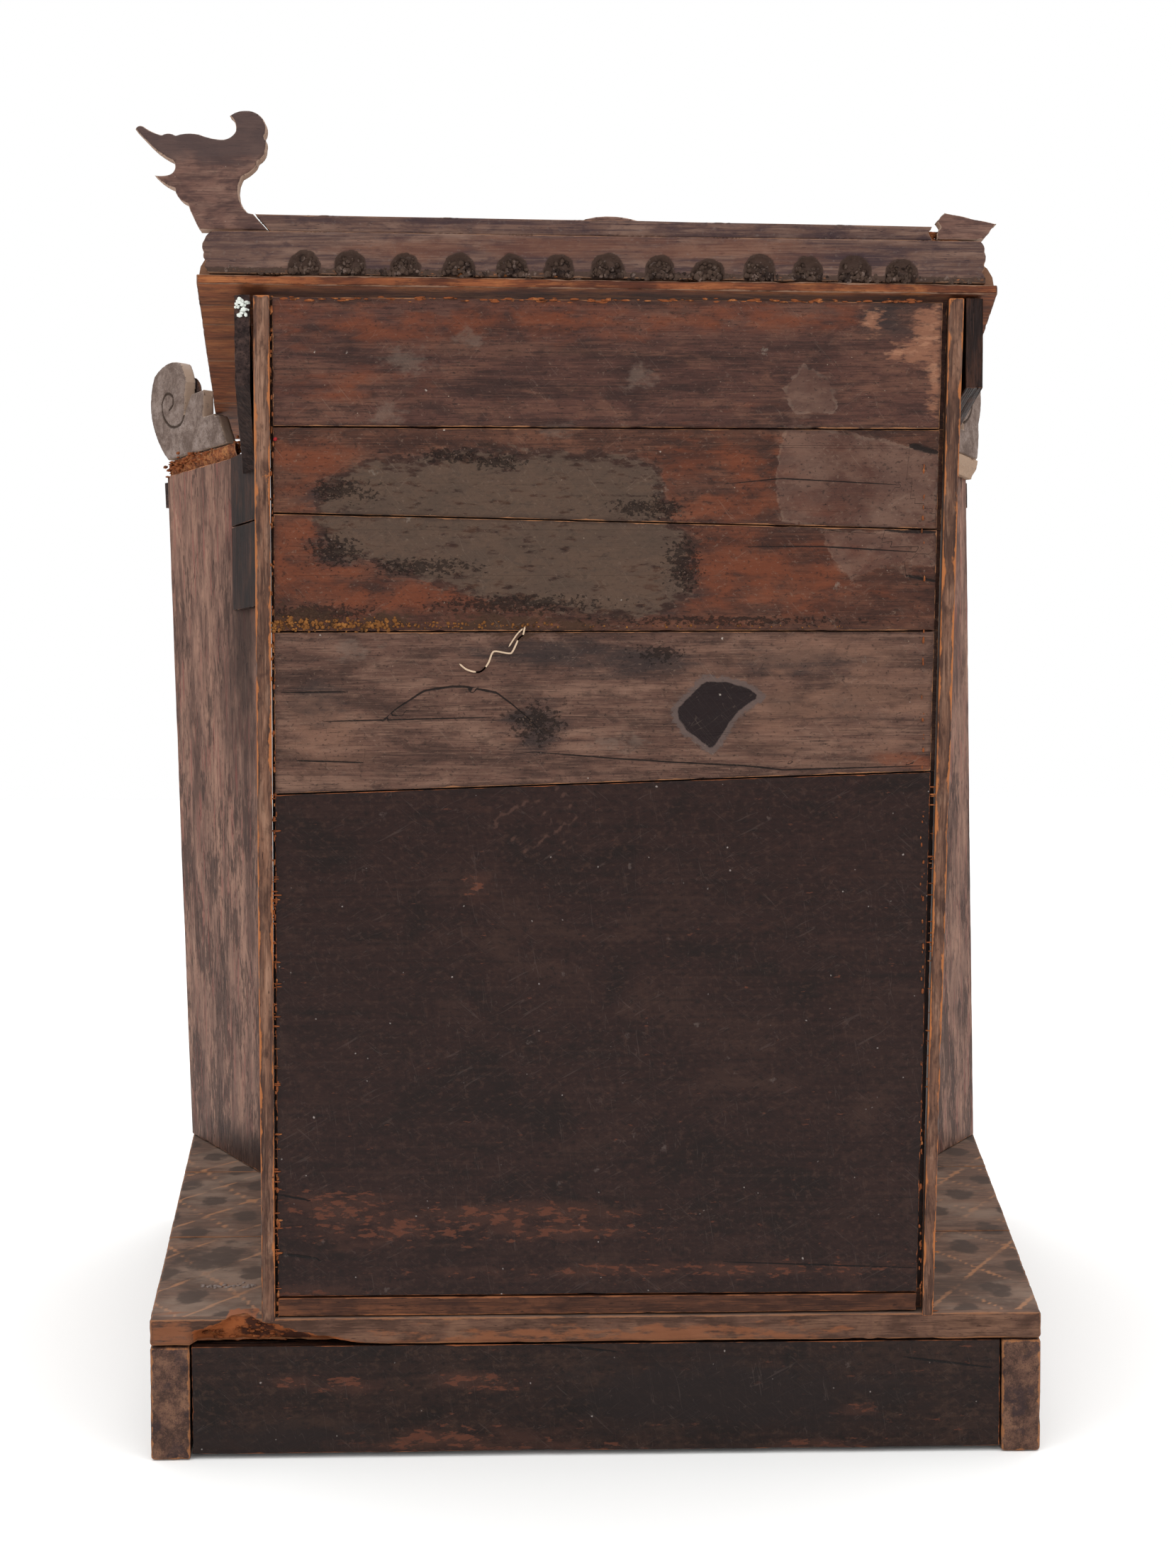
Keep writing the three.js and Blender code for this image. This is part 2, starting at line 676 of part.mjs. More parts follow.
export default shrine;
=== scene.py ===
"""The looks of a portable shrine of old joined boards: worn, stained and chipped wood, seen from behind.

Lengths here are millimetres in the shrine's own frame: X runs right from the plinth's middle, Y from the
board back to the open front, Z up from the floor. MM turns them into Blender's metres at the end.
"""
import math

import bpy
import numpy as np
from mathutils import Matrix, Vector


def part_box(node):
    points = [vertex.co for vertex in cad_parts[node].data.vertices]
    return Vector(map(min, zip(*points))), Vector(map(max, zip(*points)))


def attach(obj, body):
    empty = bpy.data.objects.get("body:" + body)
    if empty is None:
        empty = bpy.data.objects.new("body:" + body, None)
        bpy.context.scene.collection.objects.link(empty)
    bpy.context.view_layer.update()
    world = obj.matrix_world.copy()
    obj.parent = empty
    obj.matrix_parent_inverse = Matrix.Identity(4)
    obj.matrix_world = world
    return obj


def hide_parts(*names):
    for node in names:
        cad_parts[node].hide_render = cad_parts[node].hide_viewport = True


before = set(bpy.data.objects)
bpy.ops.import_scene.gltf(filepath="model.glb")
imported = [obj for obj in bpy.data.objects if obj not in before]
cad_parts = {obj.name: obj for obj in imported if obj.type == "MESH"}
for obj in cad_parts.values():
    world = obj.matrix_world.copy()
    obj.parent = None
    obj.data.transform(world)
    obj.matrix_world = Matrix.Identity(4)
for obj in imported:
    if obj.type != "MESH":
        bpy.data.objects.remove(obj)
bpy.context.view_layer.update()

MM = 0.001


# ---------------------------------------------------------------- what the frame gives
def box_of(node):
    """Lowest and highest corner of a CAD node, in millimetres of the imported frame."""
    low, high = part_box(node)
    return np.array(low) / MM, np.array(high) / MM


PLINTH_LOW = box_of("base_side_board_left")[0]
PLINTH_HIGH = box_of("base_side_board_right")[1]
# The shrine's own frame starts on the plinth's middle line, at its back, on the floor.
ORIGIN = np.array([(PLINTH_LOW[0] + PLINTH_HIGH[0]) / 2, PLINTH_LOW[1], 0.0])


def points_of(node):
    """A CAD node's points, in millimetres of the shrine's own frame."""
    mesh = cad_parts[node].data
    points = np.empty(3 * len(mesh.vertices))
    mesh.vertices.foreach_get("co", points)
    return points.reshape(-1, 3) / MM - ORIGIN


def triangles_of(node):
    """A CAD node's triangles, as three point numbers each."""
    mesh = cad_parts[node].data
    corners = np.empty(3 * len(mesh.polygons), int)
    mesh.polygons.foreach_get("vertices", corners)
    return corners.reshape(-1, 3)


def unit(vector):
    """The vector at length one."""
    vector = np.asarray(vector, float)
    return vector / np.linalg.norm(vector)


def corners_of(node, basis=np.eye(3)):
    """A board's eight corners as [end along basis 0][side along basis 1][side along basis 2]: for each
    choice of ends, the point that lies furthest that way in the node's box along the basis."""
    points = points_of(node)
    local = points @ np.asarray(basis).T
    low, high = local.min(0), local.max(0)
    way = (local - low) / (high - low) * 2 - 1
    signs = np.stack(np.meshgrid([-1, 1], [-1, 1], [-1, 1], indexing="ij"), -1).reshape(8, 3)
    return points[(way @ signs.T).argmax(0)].reshape(2, 2, 2, 3)


def lengths_of(corners):
    """A board's mean length along each of its three ways."""
    return np.array([np.linalg.norm(np.diff(corners, axis=i), axis=-1).mean() for i in range(3)])


def outline_of(node, basis):
    """The outline of the node's outermost flat face along basis[2], anticlockwise, as points along
    basis[0] and basis[1]: the edges that only one triangle of the face has, chained end to end."""
    points = points_of(node) @ np.asarray(basis).T
    _, first, same = np.unique(np.round(points, 3), axis=0, return_index=True, return_inverse=True)
    triangles = same.reshape(-1)[triangles_of(node)]
    merged = points[first]
    face = triangles[merged[triangles, 2].min(1) > merged[:, 2].max() - 0.05]
    edges = {(a, b) for t in face.tolist() for a, b in zip(t, t[1:] + t[:1])}
    follow = {a: b for a, b in edges if (b, a) not in edges}
    loops = []
    while follow:
        loop = [next(iter(sorted(follow)))]
        while loop[-1] in follow:
            loop.append(follow.pop(loop[-1]))
        loops.append(merged[loop[:-1], :2])
    return max(loops, key=lambda loop: np.ptp(loop[:, 0]) * np.ptp(loop[:, 1]))


# ---------------------------------------------------------------- noise
def noise(points, seed=0):
    """Smooth noise from -1 to 1, one cell a unit: a random value at each corner of the lattice,
    blended between the eight corners of a cell by the smoothstep of the way across it."""
    cell = np.floor(points).astype(np.int64)
    way = points - cell
    way = way * way * (3 - 2 * way)
    total = np.zeros(len(points))
    for corner in np.ndindex(2, 2, 2):
        a, b, c = (cell + corner).T
        mixed = (a * 73856093) ^ (b * 19349663) ^ (c * 83492791) ^ ((seed + 1) * 2654435761)
        mixed = ((mixed ^ (mixed >> 13)) * 1274126177) & 0x7FFFFFFF
        mixed = (mixed ^ (mixed >> 11)) & 0xFFFF
        share = np.prod(np.where(corner, way, 1 - way), axis=1)
        total += share * (mixed / 32767.5 - 1)
    return total


def rough_noise(points, seed=0, octaves=3):
    """Noise with finer noise on it: each octave is half as large and half as strong."""
    total = sum(noise(points * 2 ** i, seed + i) * 0.5 ** i for i in range(octaves))
    return total / (2 - 0.5 ** (octaves - 1))


def ease(value, low, high):
    """0 below low, 1 above high and a smooth rise between; low may be above high."""
    way = np.clip((value - low) / (high - low), 0, 1)
    return way * way * (3 - 2 * way)


# ---------------------------------------------------------------- shells
class Shell:
    """A closed surface: points, outward normals, faces, and named marks with one value a point."""

    def __init__(self, points, faces, marks=None):
        self.points = points
        self.faces = [np.asarray(f) for f in faces if len(f)]
        self.marks = marks or {}

    def normals(self):
        """Each point's normal: the sum of the cross products of its faces' diagonals, made unit."""
        total = np.zeros_like(self.points)
        for faces in self.faces:
            a, b, c = (self.points[faces[:, i]] for i in (0, 1, 2))
            d = self.points[faces[:, -1]]
            normal = np.cross(c - a, d - b) if faces.shape[1] == 4 else np.cross(b - a, c - a)
            for i in range(faces.shape[1]):
                np.add.at(total, faces[:, i], normal)
        return total / np.maximum(np.linalg.norm(total, axis=1), 1e-12)[:, None]

    def sink(self, depth):
        """Moves each point inwards by depth along its normal."""
        self.points = self.points - self.normals() * depth[:, None]
        return self


def piece(name, shells, finish, slot, *nodes):
    """One Blender object from one or more shells; it stands for the CAD nodes given, and hides them. slot is
    not used.
    """
    shells = shells if isinstance(shells, list) else [shells]
    starts = np.cumsum([0] + [len(s.points) for s in shells])
    points = np.concatenate([s.points for s in shells])
    faces = [f + start for s, start in zip(shells, starts) for f in s.faces]
    mesh = bpy.data.meshes.new(name)
    mesh.vertices.add(len(points))
    mesh.vertices.foreach_set("co", ((points + ORIGIN) * MM).astype(np.float32).ravel())
    sizes = np.concatenate([np.full(len(f), f.shape[1]) for f in faces])
    mesh.loops.add(int(sizes.sum()))
    mesh.loops.foreach_set("vertex_index", np.concatenate([f.ravel() for f in faces]).astype(np.int32))
    mesh.polygons.add(len(sizes))
    mesh.polygons.foreach_set("loop_start", np.concatenate([[0], np.cumsum(sizes)[:-1]]).astype(np.int32))
    mesh.polygons.foreach_set("use_smooth", np.ones(len(sizes), bool))
    mesh.update(calc_edges=True)
    for mark in sorted({m for s in shells for m in s.marks}):
        nothing = 9.0 if mark in ("crack", "edge") else 0.0
        values = [s.marks.get(mark, np.full(len(s.points), nothing)) for s in shells]
        layer = mesh.attributes.new(mark, "FLOAT", "POINT")
        layer.data.foreach_set("value", np.concatenate(values).astype(np.float32))
    mesh.materials.append(finish)
    made = bpy.data.objects.new(name, mesh)
    bpy.context.scene.collection.objects.link(made)
    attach(made, "root")
    if nodes:
        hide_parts(*nodes)
    return made


def grid_faces(index):
    """The quads of a grid of point numbers, facing the cross product of its first and second way."""
    return np.stack([index[:-1, :-1], index[1:, :-1], index[1:, 1:], index[:-1, 1:]], -1).reshape(-1, 4)


# ---------------------------------------------------------------- boards
def grid_lines(length, cell, arris):
    """Lines across a side, from 0 to length: close together at each arris, then about a cell apart."""
    arris = min(arris, length / 5)
    near = arris * np.array([0, 0.3, 0.65, 1.0, 1.9])
    middle = np.linspace(near[-1], length - near[-1], max(2, round((length - 2 * near[-1]) / cell) + 1))
    return np.concatenate([near[:-1], middle, (length - near[:-1])[::-1]])


def board(corners, cell, arris=1.2, seed=0, along=0, ripple=0.3, fibre=0.12, chips=0.8, bend=None):
    """A sawn and worn board between eight corners: the surface of a box grid whose edges are rounded,
    each point near an edge being moved to the arris radius from the box shrunk by that radius. The
    radius wanders along the edge. The board is then sunk by ripples, fibres along the grain, and chips
    that bite at the arrises. bend moves the finished points."""
    size = lengths_of(corners)
    lines = [grid_lines(size[i], cell[i], arris) for i in range(3)]
    counts = [len(line) for line in lines]
    index = np.arange(np.prod(counts)).reshape(counts)
    sides = [index[-1], index[0].T, index[:, -1].T, index[:, 0], index[:, :, -1], index[:, :, 0].T]
    faces = np.concatenate([grid_faces(side) for side in sides])
    used, faces = np.unique(faces, return_inverse=True)
    faces = faces.reshape(-1, 4)
    local = np.stack(np.meshgrid(*lines, indexing="ij"), -1).reshape(-1, 3)[used]
    edge = np.sort(np.minimum(local, size - local), axis=1)[:, 1]
    shift = seed * 37.7
    radius = arris * (0.75 + 0.45 * rough_noise((local + shift) / 14, seed))
    radius = np.minimum(radius, size.min() / 2.2)[:, None]
    core = np.clip(local, radius, size - radius)
    out = local - core
    reach = np.maximum(np.linalg.norm(out, axis=1, keepdims=True), 1e-9)
    direction = out / reach
    local = core + direction * radius
    stretch = np.full(3, 2.6)
    stretch[along] = 46
    depth = ripple * (0.5 + 0.5 * noise((local + shift) / 70, seed + 1))
    depth += fibre * (0.5 + 0.5 * noise((local + shift) / stretch, seed + 2))
    bite = ease(rough_noise((local + shift) / np.where(stretch > 9, 11, 5), seed + 3), 0.25, 0.75)
    depth += chips * bite * np.exp(-edge / 2.2)
    share = local / size
    u, v, w = (np.stack([1 - share[:, i], share[:, i]], -1) for i in range(3))
    points = np.einsum("na,nb,nc,abcd->nd", u, v, w, corners)
    axes = [unit(np.diff(corners, axis=i).reshape(-1, 3).mean(0)) for i in range(3)]
    points = points - (direction @ np.array(axes)) * depth[:, None]
    if bend is not None:
        points = bend(points)
    return Shell(points, [faces], {"edge": edge, "end": np.abs(direction[:, along])})


# ---------------------------------------------------------------- plates
def near_outline(points, outline):
    """For each point its distance to a closed outline, the nearest point on it, and if it is inside."""
    ends = np.roll(outline, -1, axis=0)
    span = ends - outline
    offset = points[:, None] - outline
    way = np.clip((offset * span).sum(-1) / np.maximum((span * span).sum(-1), 1e-12), 0, 1)
    nearest = outline + way[..., None] * span
    gaps = np.linalg.norm(points[:, None] - nearest, axis=-1)
    best = gaps.argmin(1)
    rows = np.arange(len(points))
    straddles = (outline[:, 1] > points[:, None, 1]) != (ends[:, 1] > points[:, None, 1])
    rise = np.where(np.abs(span[:, 1]) > 1e-9, span[:, 1], 1e-9)
    crossing = outline[:, 0] + (points[:, None, 1] - outline[:, 1]) / rise * span[:, 0]
    inside = (straddles & (points[:, None, 0] < crossing)).sum(1) % 2 == 1
    return gaps[rows, best], nearest[rows, best], inside


SNAP = 0.56  # share of a cell within which a grid point is moved onto the outline
RIM = 4      # strips of faces round a plate's edge, from sheet to sheet


def plate(outline, low, high, basis, cell, rounding, relief_low=None, relief_high=None):
    """A flat piece cut to an outline: a square grid over it, whose points next to the outline are moved
    onto it, doubled into a low and a high sheet and joined by a rim. Within rounding of the outline each
    sheet curves in as a quarter circle; relief(s, t, distance) sinks it further."""
    start, stop = outline.min(0), outline.max(0)
    count = np.ceil((stop - start) / cell).astype(int) + 1
    grid = np.stack(np.meshgrid(*(np.linspace(start[i], stop[i], count[i]) for i in (0, 1)),
                                indexing="ij"), -1).reshape(-1, 2)
    distance, nearest, inside = near_outline(grid, outline)
    snapped = distance < SNAP * cell
    grid[snapped] = nearest[snapped]
    distance[snapped] = 0
    keep = inside | snapped
    quads = grid_faces(np.arange(len(grid)).reshape(count))
    held = keep[quads].sum(1)
    middle_in = near_outline(np.where(keep[quads][..., None], grid[quads], 0).sum(1) / held[:, None].clip(1),
                             outline)[2]
    whole = quads[(held == 4) & middle_in]
    cornered = quads[(held == 3) & middle_in]
    odd = np.argmin(keep[cornered], axis=1)
    three = np.stack([cornered[np.arange(len(cornered)), (odd + i) % 4] for i in (1, 2, 3)], -1)
    edges = np.concatenate([whole[:, [i, (i + 1) % 4]] for i in range(4)]
                           + [three[:, [i, (i + 1) % 3]] for i in range(3)])
    code = edges[:, 0] * len(grid) + edges[:, 1]
    back = edges[:, 1] * len(grid) + edges[:, 0]
    border = edges[~np.isin(code, back)]
    used = np.unique(edges)
    number = np.full(len(grid), -1)
    number[used] = np.arange(len(used))
    whole, three, border = number[whole], number[three], number[border]
    flat, distance = grid[used], distance[used]
    fall = rounding - np.sqrt(np.maximum(rounding ** 2 - np.maximum(rounding - distance, 0) ** 2, 0))
    sheets = []
    for level, sign, relief in ((high, -1, relief_high), (low, 1, relief_low)):
        depth = fall + (relief(flat[:, 0], flat[:, 1], distance) if relief else 0)
        sheets.append(np.column_stack([flat, level + sign * depth]))
    n = len(flat)
    rim_at = np.unique(border)
    place = np.full(n, -1)
    place[rim_at] = np.arange(len(rim_at))
    rings = [np.arange(n)[rim_at]]
    points = sheets[:]
    for k in range(1, RIM):
        ring = sheets[0][rim_at] + (sheets[1][rim_at] - sheets[0][rim_at]) * k / RIM
        rings.append(2 * n + (k - 1) * len(rim_at) + np.arange(len(rim_at)))
        points.append(ring)
    rings.append(n + rim_at)
    side = []
    for upper, lower in zip(rings[:-1], rings[1:]):
        a, b = place[border[:, 0]], place[border[:, 1]]
        side.append(np.stack([upper[b], upper[a], lower[a], lower[b]], -1))
    points = np.concatenate(points)
    marks = np.concatenate([distance, distance, np.zeros(len(points) - 2 * n)])
    local = points @ np.asarray(basis)
    quads = np.concatenate([whole, whole[:, ::-1] + n] + side)
    return Shell(local, [quads, np.concatenate([three, three[:, ::-1] + n])], {"edge": marks})


def weather(shell, seed, ripple=0.3, fibre=0.15, grain=(46, 2.6, 2.6)):
    """Sinks a shell by broad ripples and by fibres along its grain."""
    points = shell.points + seed * 31.3
    depth = ripple * (0.5 + 0.5 * noise(points / 40, seed))
    depth += fibre * (0.5 + 0.5 * noise(points / grain, seed + 1))
    return shell.sink(depth)


def lumps(places, sizes, seed, flat=1.0):
    """Many small rough grains as one shell: twenty-sided balls, each stretched along X, Y and Z by its
    own chance amounts and knocked out of shape corner by corner."""
    golden = (1 + 5 ** 0.5) / 2
    ball = np.array([(0, 1, golden), (0, -1, golden), (0, 1, -golden), (0, -1, -golden)])
    ball = np.concatenate([ball, ball[:, [2, 0, 1]], ball[:, [1, 2, 0]]]) / math.hypot(1, golden)
    apart = np.linalg.norm(ball[:, None] - ball[None], axis=-1)
    near = (apart > 0.1) & (apart < 1.2)
    faces = []
    for i, j, k in ((i, j, k) for i in range(12) for j in range(i) for k in range(j)):
        if near[i, j] and near[j, k] and near[i, k]:
            outward = np.dot(np.cross(ball[j] - ball[i], ball[k] - ball[i]), ball[i]) > 0
            faces.append((i, j, k) if outward else (i, k, j))
    chance = np.random.default_rng(seed)
    count = len(places)
    stretch = np.ones((count, 3)) * sizes / 2
    stretch *= chance.uniform(0.45, 1.25, (count, 1)) * chance.uniform(0.7, 1.3, (count, 3))
    stretch[:, 1] *= flat
    knocked = ball[None] * chance.uniform(0.75, 1.2, (count, 12, 1))
    points = (np.asarray(places)[:, None] + knocked * stretch[:, None]).reshape(-1, 3)
    faces = (np.array(faces)[None] + 12 * np.arange(count)[:, None, None]).reshape(-1, 3)
    return Shell(points, [faces])


def strewn(seed, count, x, z, y, wander=0.6):
    """Chance places in a band: even along X, bunched about the middle of Z, at the depth y."""
    chance = np.random.default_rng(seed)
    across = np.clip(chance.normal(0, 0.4, count), -1, 1)
    along = chance.uniform(*x, count)
    depth = y + chance.uniform(-0.2, wander, count)
    return np.column_stack([along, depth, (z[0] + z[1]) / 2 + across * (z[1] - z[0]) / 2])


def strewn_upright(seed, count, z, x, y):
    """Chance places in an upright band: even along Z, bunched about the middle of X, at the depth y."""
    return strewn(seed, count, z, x, y)[:, [2, 1, 0]]


def smoothed(points, steps=6):
    """A curve through the points: the Catmull-Rom spline, steps pieces from each point to the next."""
    p = np.array(points, float)
    p = np.concatenate([p[:1] * 2 - p[1:2], p, p[-1:] * 2 - p[-2:-1]])
    t = (np.arange(steps) / steps)[:, None, None]
    a, b, c, d = p[:-3], p[1:-2], p[2:-1], p[3:]
    curve = 0.5 * (2 * b + (c - a) * t + (2 * a - 5 * b + 4 * c - d) * t ** 2
                   + (3 * b - a - 3 * c + d) * t ** 3)
    return np.concatenate([curve.transpose(1, 0, 2).reshape(-1, p.shape[1]), p[-2:-1]])


def strand(points, radius):
    """A thread along a curve: rings of six points, square to the way from the last ring to the next and
    drawn in to a point at both ends."""
    line = smoothed(points)
    way = np.gradient(line, axis=0)
    way /= np.linalg.norm(way, axis=1, keepdims=True)
    first = np.cross(way, [0, 1.0, 0])
    first /= np.linalg.norm(first, axis=1, keepdims=True)
    second = np.cross(way, first)
    turn = np.arange(6) * math.pi / 3
    thick = np.full(len(line), radius)
    thick[[0, -1]] = radius * 0.1
    around = first[:, None] * np.cos(turn)[:, None] + second[:, None] * np.sin(turn)[:, None]
    rings = line[:, None] + around * thick[:, None, None]
    index = np.arange(len(line) * 6).reshape(-1, 6)
    index = np.concatenate([index, index[:, :1]], axis=1)
    ends = [index[0, 5::-1][None, :6], index[-1, :6][None]]
    return Shell(rings.reshape(-1, 3), [grid_faces(index)] + ends)


UPRIGHT = np.array([[1.0, 0, 0], [0, 0, 1.0], [0, -1.0, 0]])  # along X, up, and out of the back


# ---------------------------------------------------------------- finishes
def linear(tone):
    """An sRGB hex value as linear red, green, blue and alpha."""
    parts = [int(tone[i:i + 2], 16) / 255 for i in (1, 3, 5)]
    return [p / 12.92 if p <= 0.04045 else ((p + 0.055) / 1.055) ** 2.4 for p in parts] + [1.0]


def add_node(tree, kind, inputs=None, **settings):
    """Adds one node: settings are its properties, inputs its values or the sockets linked to it."""
    made = tree.nodes.new("ShaderNode" + kind)
    for key, value in settings.items():
        setattr(made, key, value)
    for key, value in (inputs or {}).items():
        if isinstance(value, bpy.types.NodeSocket):
            tree.links.new(value, made.inputs[key])
        else:
            made.inputs[key].default_value = value
    return made


class Finish:
    """A material in the making: each layer is worked over the colour, roughness and height so far."""

    def __init__(self, name, tone, rough, along=0):
        self.material = bpy.data.materials.new(name)
        self.material.use_nodes = True
        self.tree = self.material.node_tree
        self.tree.nodes.clear()
        self.place = self.add("TexCoord").outputs["Object"]
        self.colour = linear(tone)
        self.rough = rough
        self.height = None
        self.along = along
        self.seed = 3.7 * len(bpy.data.materials)

    def add(self, kind, inputs=None, **settings):
        """Adds one node to this material."""
        return add_node(self.tree, kind, inputs, **settings)

    def blotches(self, length, width=None, detail=5.0, bent=0.0):
        """Noise from 0 to 1 in blotches of length mm along the grain and width mm across it."""
        size = [width or length] * 3
        size[self.along] = length
        self.seed += 11.3
        at = self.add("Mapping", {"Vector": self.place, "Scale": [1 / (MM * s) for s in size],
                                  "Location": [self.seed] * 3})
        return self.add("TexNoise", {"Vector": at.outputs[0], "Scale": 1.0, "Detail": detail,
                                     "Roughness": 0.62, "Distortion": bent}).outputs["Fac"]

    def coat(self, source, start, full, tone, amount=1.0, broken=0.0, grit=(5, 5), rough=None, raised=0.0,
             patchy=None):
        """Lays tone over what is there: none where source is at start, amount of it where it is at full.
        broken times noise in blotches of grit mm moves source up or down, so that the coat has a ragged
        edge. patchy gives the blotches in mm that the coat is worn through in. raised lifts it by mm."""
        if isinstance(source, str):
            source = self.add("Attribute", attribute_name=source).outputs["Fac"]
        if broken:
            source = self.add("Math", {0: self.blotches(*grit), 1: broken, 2: source},
                              operation="MULTIPLY_ADD").outputs[0]
            start, full = start + broken / 2, full + broken / 2
        part = self.add("MapRange", {0: source, 1: start, 2: full, 3: 0.0, 4: amount},
                        interpolation_type="SMOOTHSTEP").outputs[0]
        if patchy:
            left = self.add("MapRange", {0: self.blotches(*patchy), 1: 0.4, 2: 0.54}).outputs[0]
            part = self.add("Math", {0: part, 1: left}, operation="MULTIPLY").outputs[0]
        self.colour = self.add("Mix", {0: part, 6: self.colour, 7: linear(tone)},
                               data_type="RGBA").outputs[2]
        if rough is not None:
            self.rough = self.add("Mix", {0: part, 2: self.rough, 3: rough}).outputs[0]
        if raised:
            self.lift(part, raised)
        return self

    def line(self, mark, tone, raised=-0.4):
        """A dark line where the mark passes zero, a crack whose half width is 1 in the mark's units."""
        source = self.add("Attribute", attribute_name=mark).outputs["Fac"]
        away = self.add("Math", {0: source}, operation="ABSOLUTE").outputs[0]
        return self.coat(away, 1.5, 0.6, tone, 0.95, 2.0, (5, 2), raised=raised)

    def lift(self, source, mm):
        """Adds source times mm to the height."""
        under = 0.0 if self.height is None else self.height
        self.height = self.add("Math", {0: source, 1: mm, 2: under}, operation="MULTIPLY_ADD").outputs[0]
        return self

    def done(self, gloss=0.14):
        """Closes the material, with the height as a bump and gloss as the strength of its sheen."""
        inputs = {"Base Color": self.colour, "Roughness": self.rough, "IOR": 1.5,
                  "Specular IOR Level": gloss}
        if self.height is not None:
            bump = self.add("Bump", {"Height": self.height, "Distance": MM, "Strength": 1.0})
            inputs["Normal"] = bump.outputs[0]
        shader = self.add("BsdfPrincipled", inputs)
        self.add("OutputMaterial", {0: shader.outputs[0]})
        return self.material


def old_wood(name, tones, rough, along=0, streak=(80, 3.4), fibre=(16, 0.7), cloud=(70, 22), relief=0.16):
    """Old conifer wood, planed by hand: broad clouds, dark and light grain streaks, fine fibres, grime in
    the pores and short dark pits. tones are its middle, dark and light colour. What the eye gets is a
    dull surface with crisp lines along it."""
    middle, dark, light = tones
    finish = Finish(name, middle, rough, along)
    clouds = finish.blotches(*cloud, bent=0.6)
    finish.coat(clouds, 0.52, 0.36, dark, 0.7)
    finish.coat(clouds, 0.5, 0.66, light, 0.6)
    mottle = finish.blotches(26, 9, detail=9.0, bent=0.4)
    finish.coat(mottle, 0.5, 0.36, dark, 0.6)
    finish.coat(mottle, 0.53, 0.66, light, 0.5)
    streaks = finish.blotches(*streak, detail=9.0, bent=0.25)
    finish.coat(streaks, 0.48, 0.37, dark, 0.5)
    finish.coat(streaks, 0.54, 0.66, light, 0.35)
    fibres = finish.blotches(*fibre, detail=4.0)
    finish.coat(fibres, 0.46, 0.36, dark, 0.6)
    finish.coat(fibres, 0.56, 0.66, light, 0.4)
    grime = finish.blotches(9, 5, detail=9.0)
    finish.coat(grime, 0.47, 0.32, dark, 0.55)
    pits = finish.blotches(5, 0.8, detail=2.0)
    finish.coat(pits, 0.34, 0.27, dark, 0.9, raised=-0.15)
    finish.lift(streaks, relief * 2).lift(fibres, relief).lift(grime, relief * 0.8)
    return finish


def worn_edges(finish, tone, reach=1.6, broken=6.0, amount=0.85):
    """Bare wood along the arrises, wider and narrower, where hands have rubbed the stain away."""
    return finish.coat("edge", reach, reach * 0.3, tone, amount, broken, (16, 5), rough=0.72)


def dusty(finish, tone="#8d8078", amount=0.5):
    """Dust that lies where the surface faces up."""
    up = finish.add("SeparateXYZ", {0: finish.add("NewGeometry").outputs["Normal"]}).outputs["Z"]
    return finish.coat(up, 0.35, 1.0, tone, amount, 0.8, (30, 30), rough=0.9)


def specked(finish, spacing, size, tone, share=0.35, amount=0.8):
    """Ragged specks up to size mm wide in cells of spacing mm, in a share of the cells."""
    at = finish.add("Mapping", {"Vector": finish.place, "Scale": [1 / (MM * spacing)] * 3,
                                "Location": [finish.seed] * 3})
    cells = finish.add("TexVoronoi", {"Vector": at.outputs[0], "Scale": 1.0})
    lot = finish.add("SeparateColor", {0: cells.outputs["Color"]}).outputs[0]
    shy = finish.add("MapRange", {0: lot, 1: share, 2: share + 0.02, 3: 0.0, 4: 9.0}).outputs[0]
    gap = finish.add("Math", {0: cells.outputs["Distance"], 1: shy}, operation="ADD").outputs[0]
    reach = size / spacing / 2
    return finish.coat(gap, reach, reach * 0.2, tone, amount, reach * 4, (1.4, 1.4), rough=0.85)


def scratched(finish, spacing, slope, tone, amount=0.35):
    """Thin crossing scratches, some spacing mm apart, that climb at slope: where a noise stretched along
    that slanting line passes its middle value."""
    at = finish.add("Mapping", {"Vector": finish.place, "Rotation": [0, slope, 0],
                                "Scale": [MM * 45, MM * 45, MM * spacing],
                                "Location": [MM * finish.seed] * 3}, vector_type="TEXTURE")
    lines = finish.add("TexNoise", {"Vector": at.outputs[0], "Scale": 1.0, "Detail": 1.0}).outputs["Fac"]
    away = finish.add("Math", {0: lines, 1: 0.5}, operation="SUBTRACT").outputs[0]
    away = finish.add("Math", {0: away}, operation="ABSOLUTE").outputs[0]
    return finish.coat(away, 0.006, 0.001, tone, amount, patchy=(22, 22))


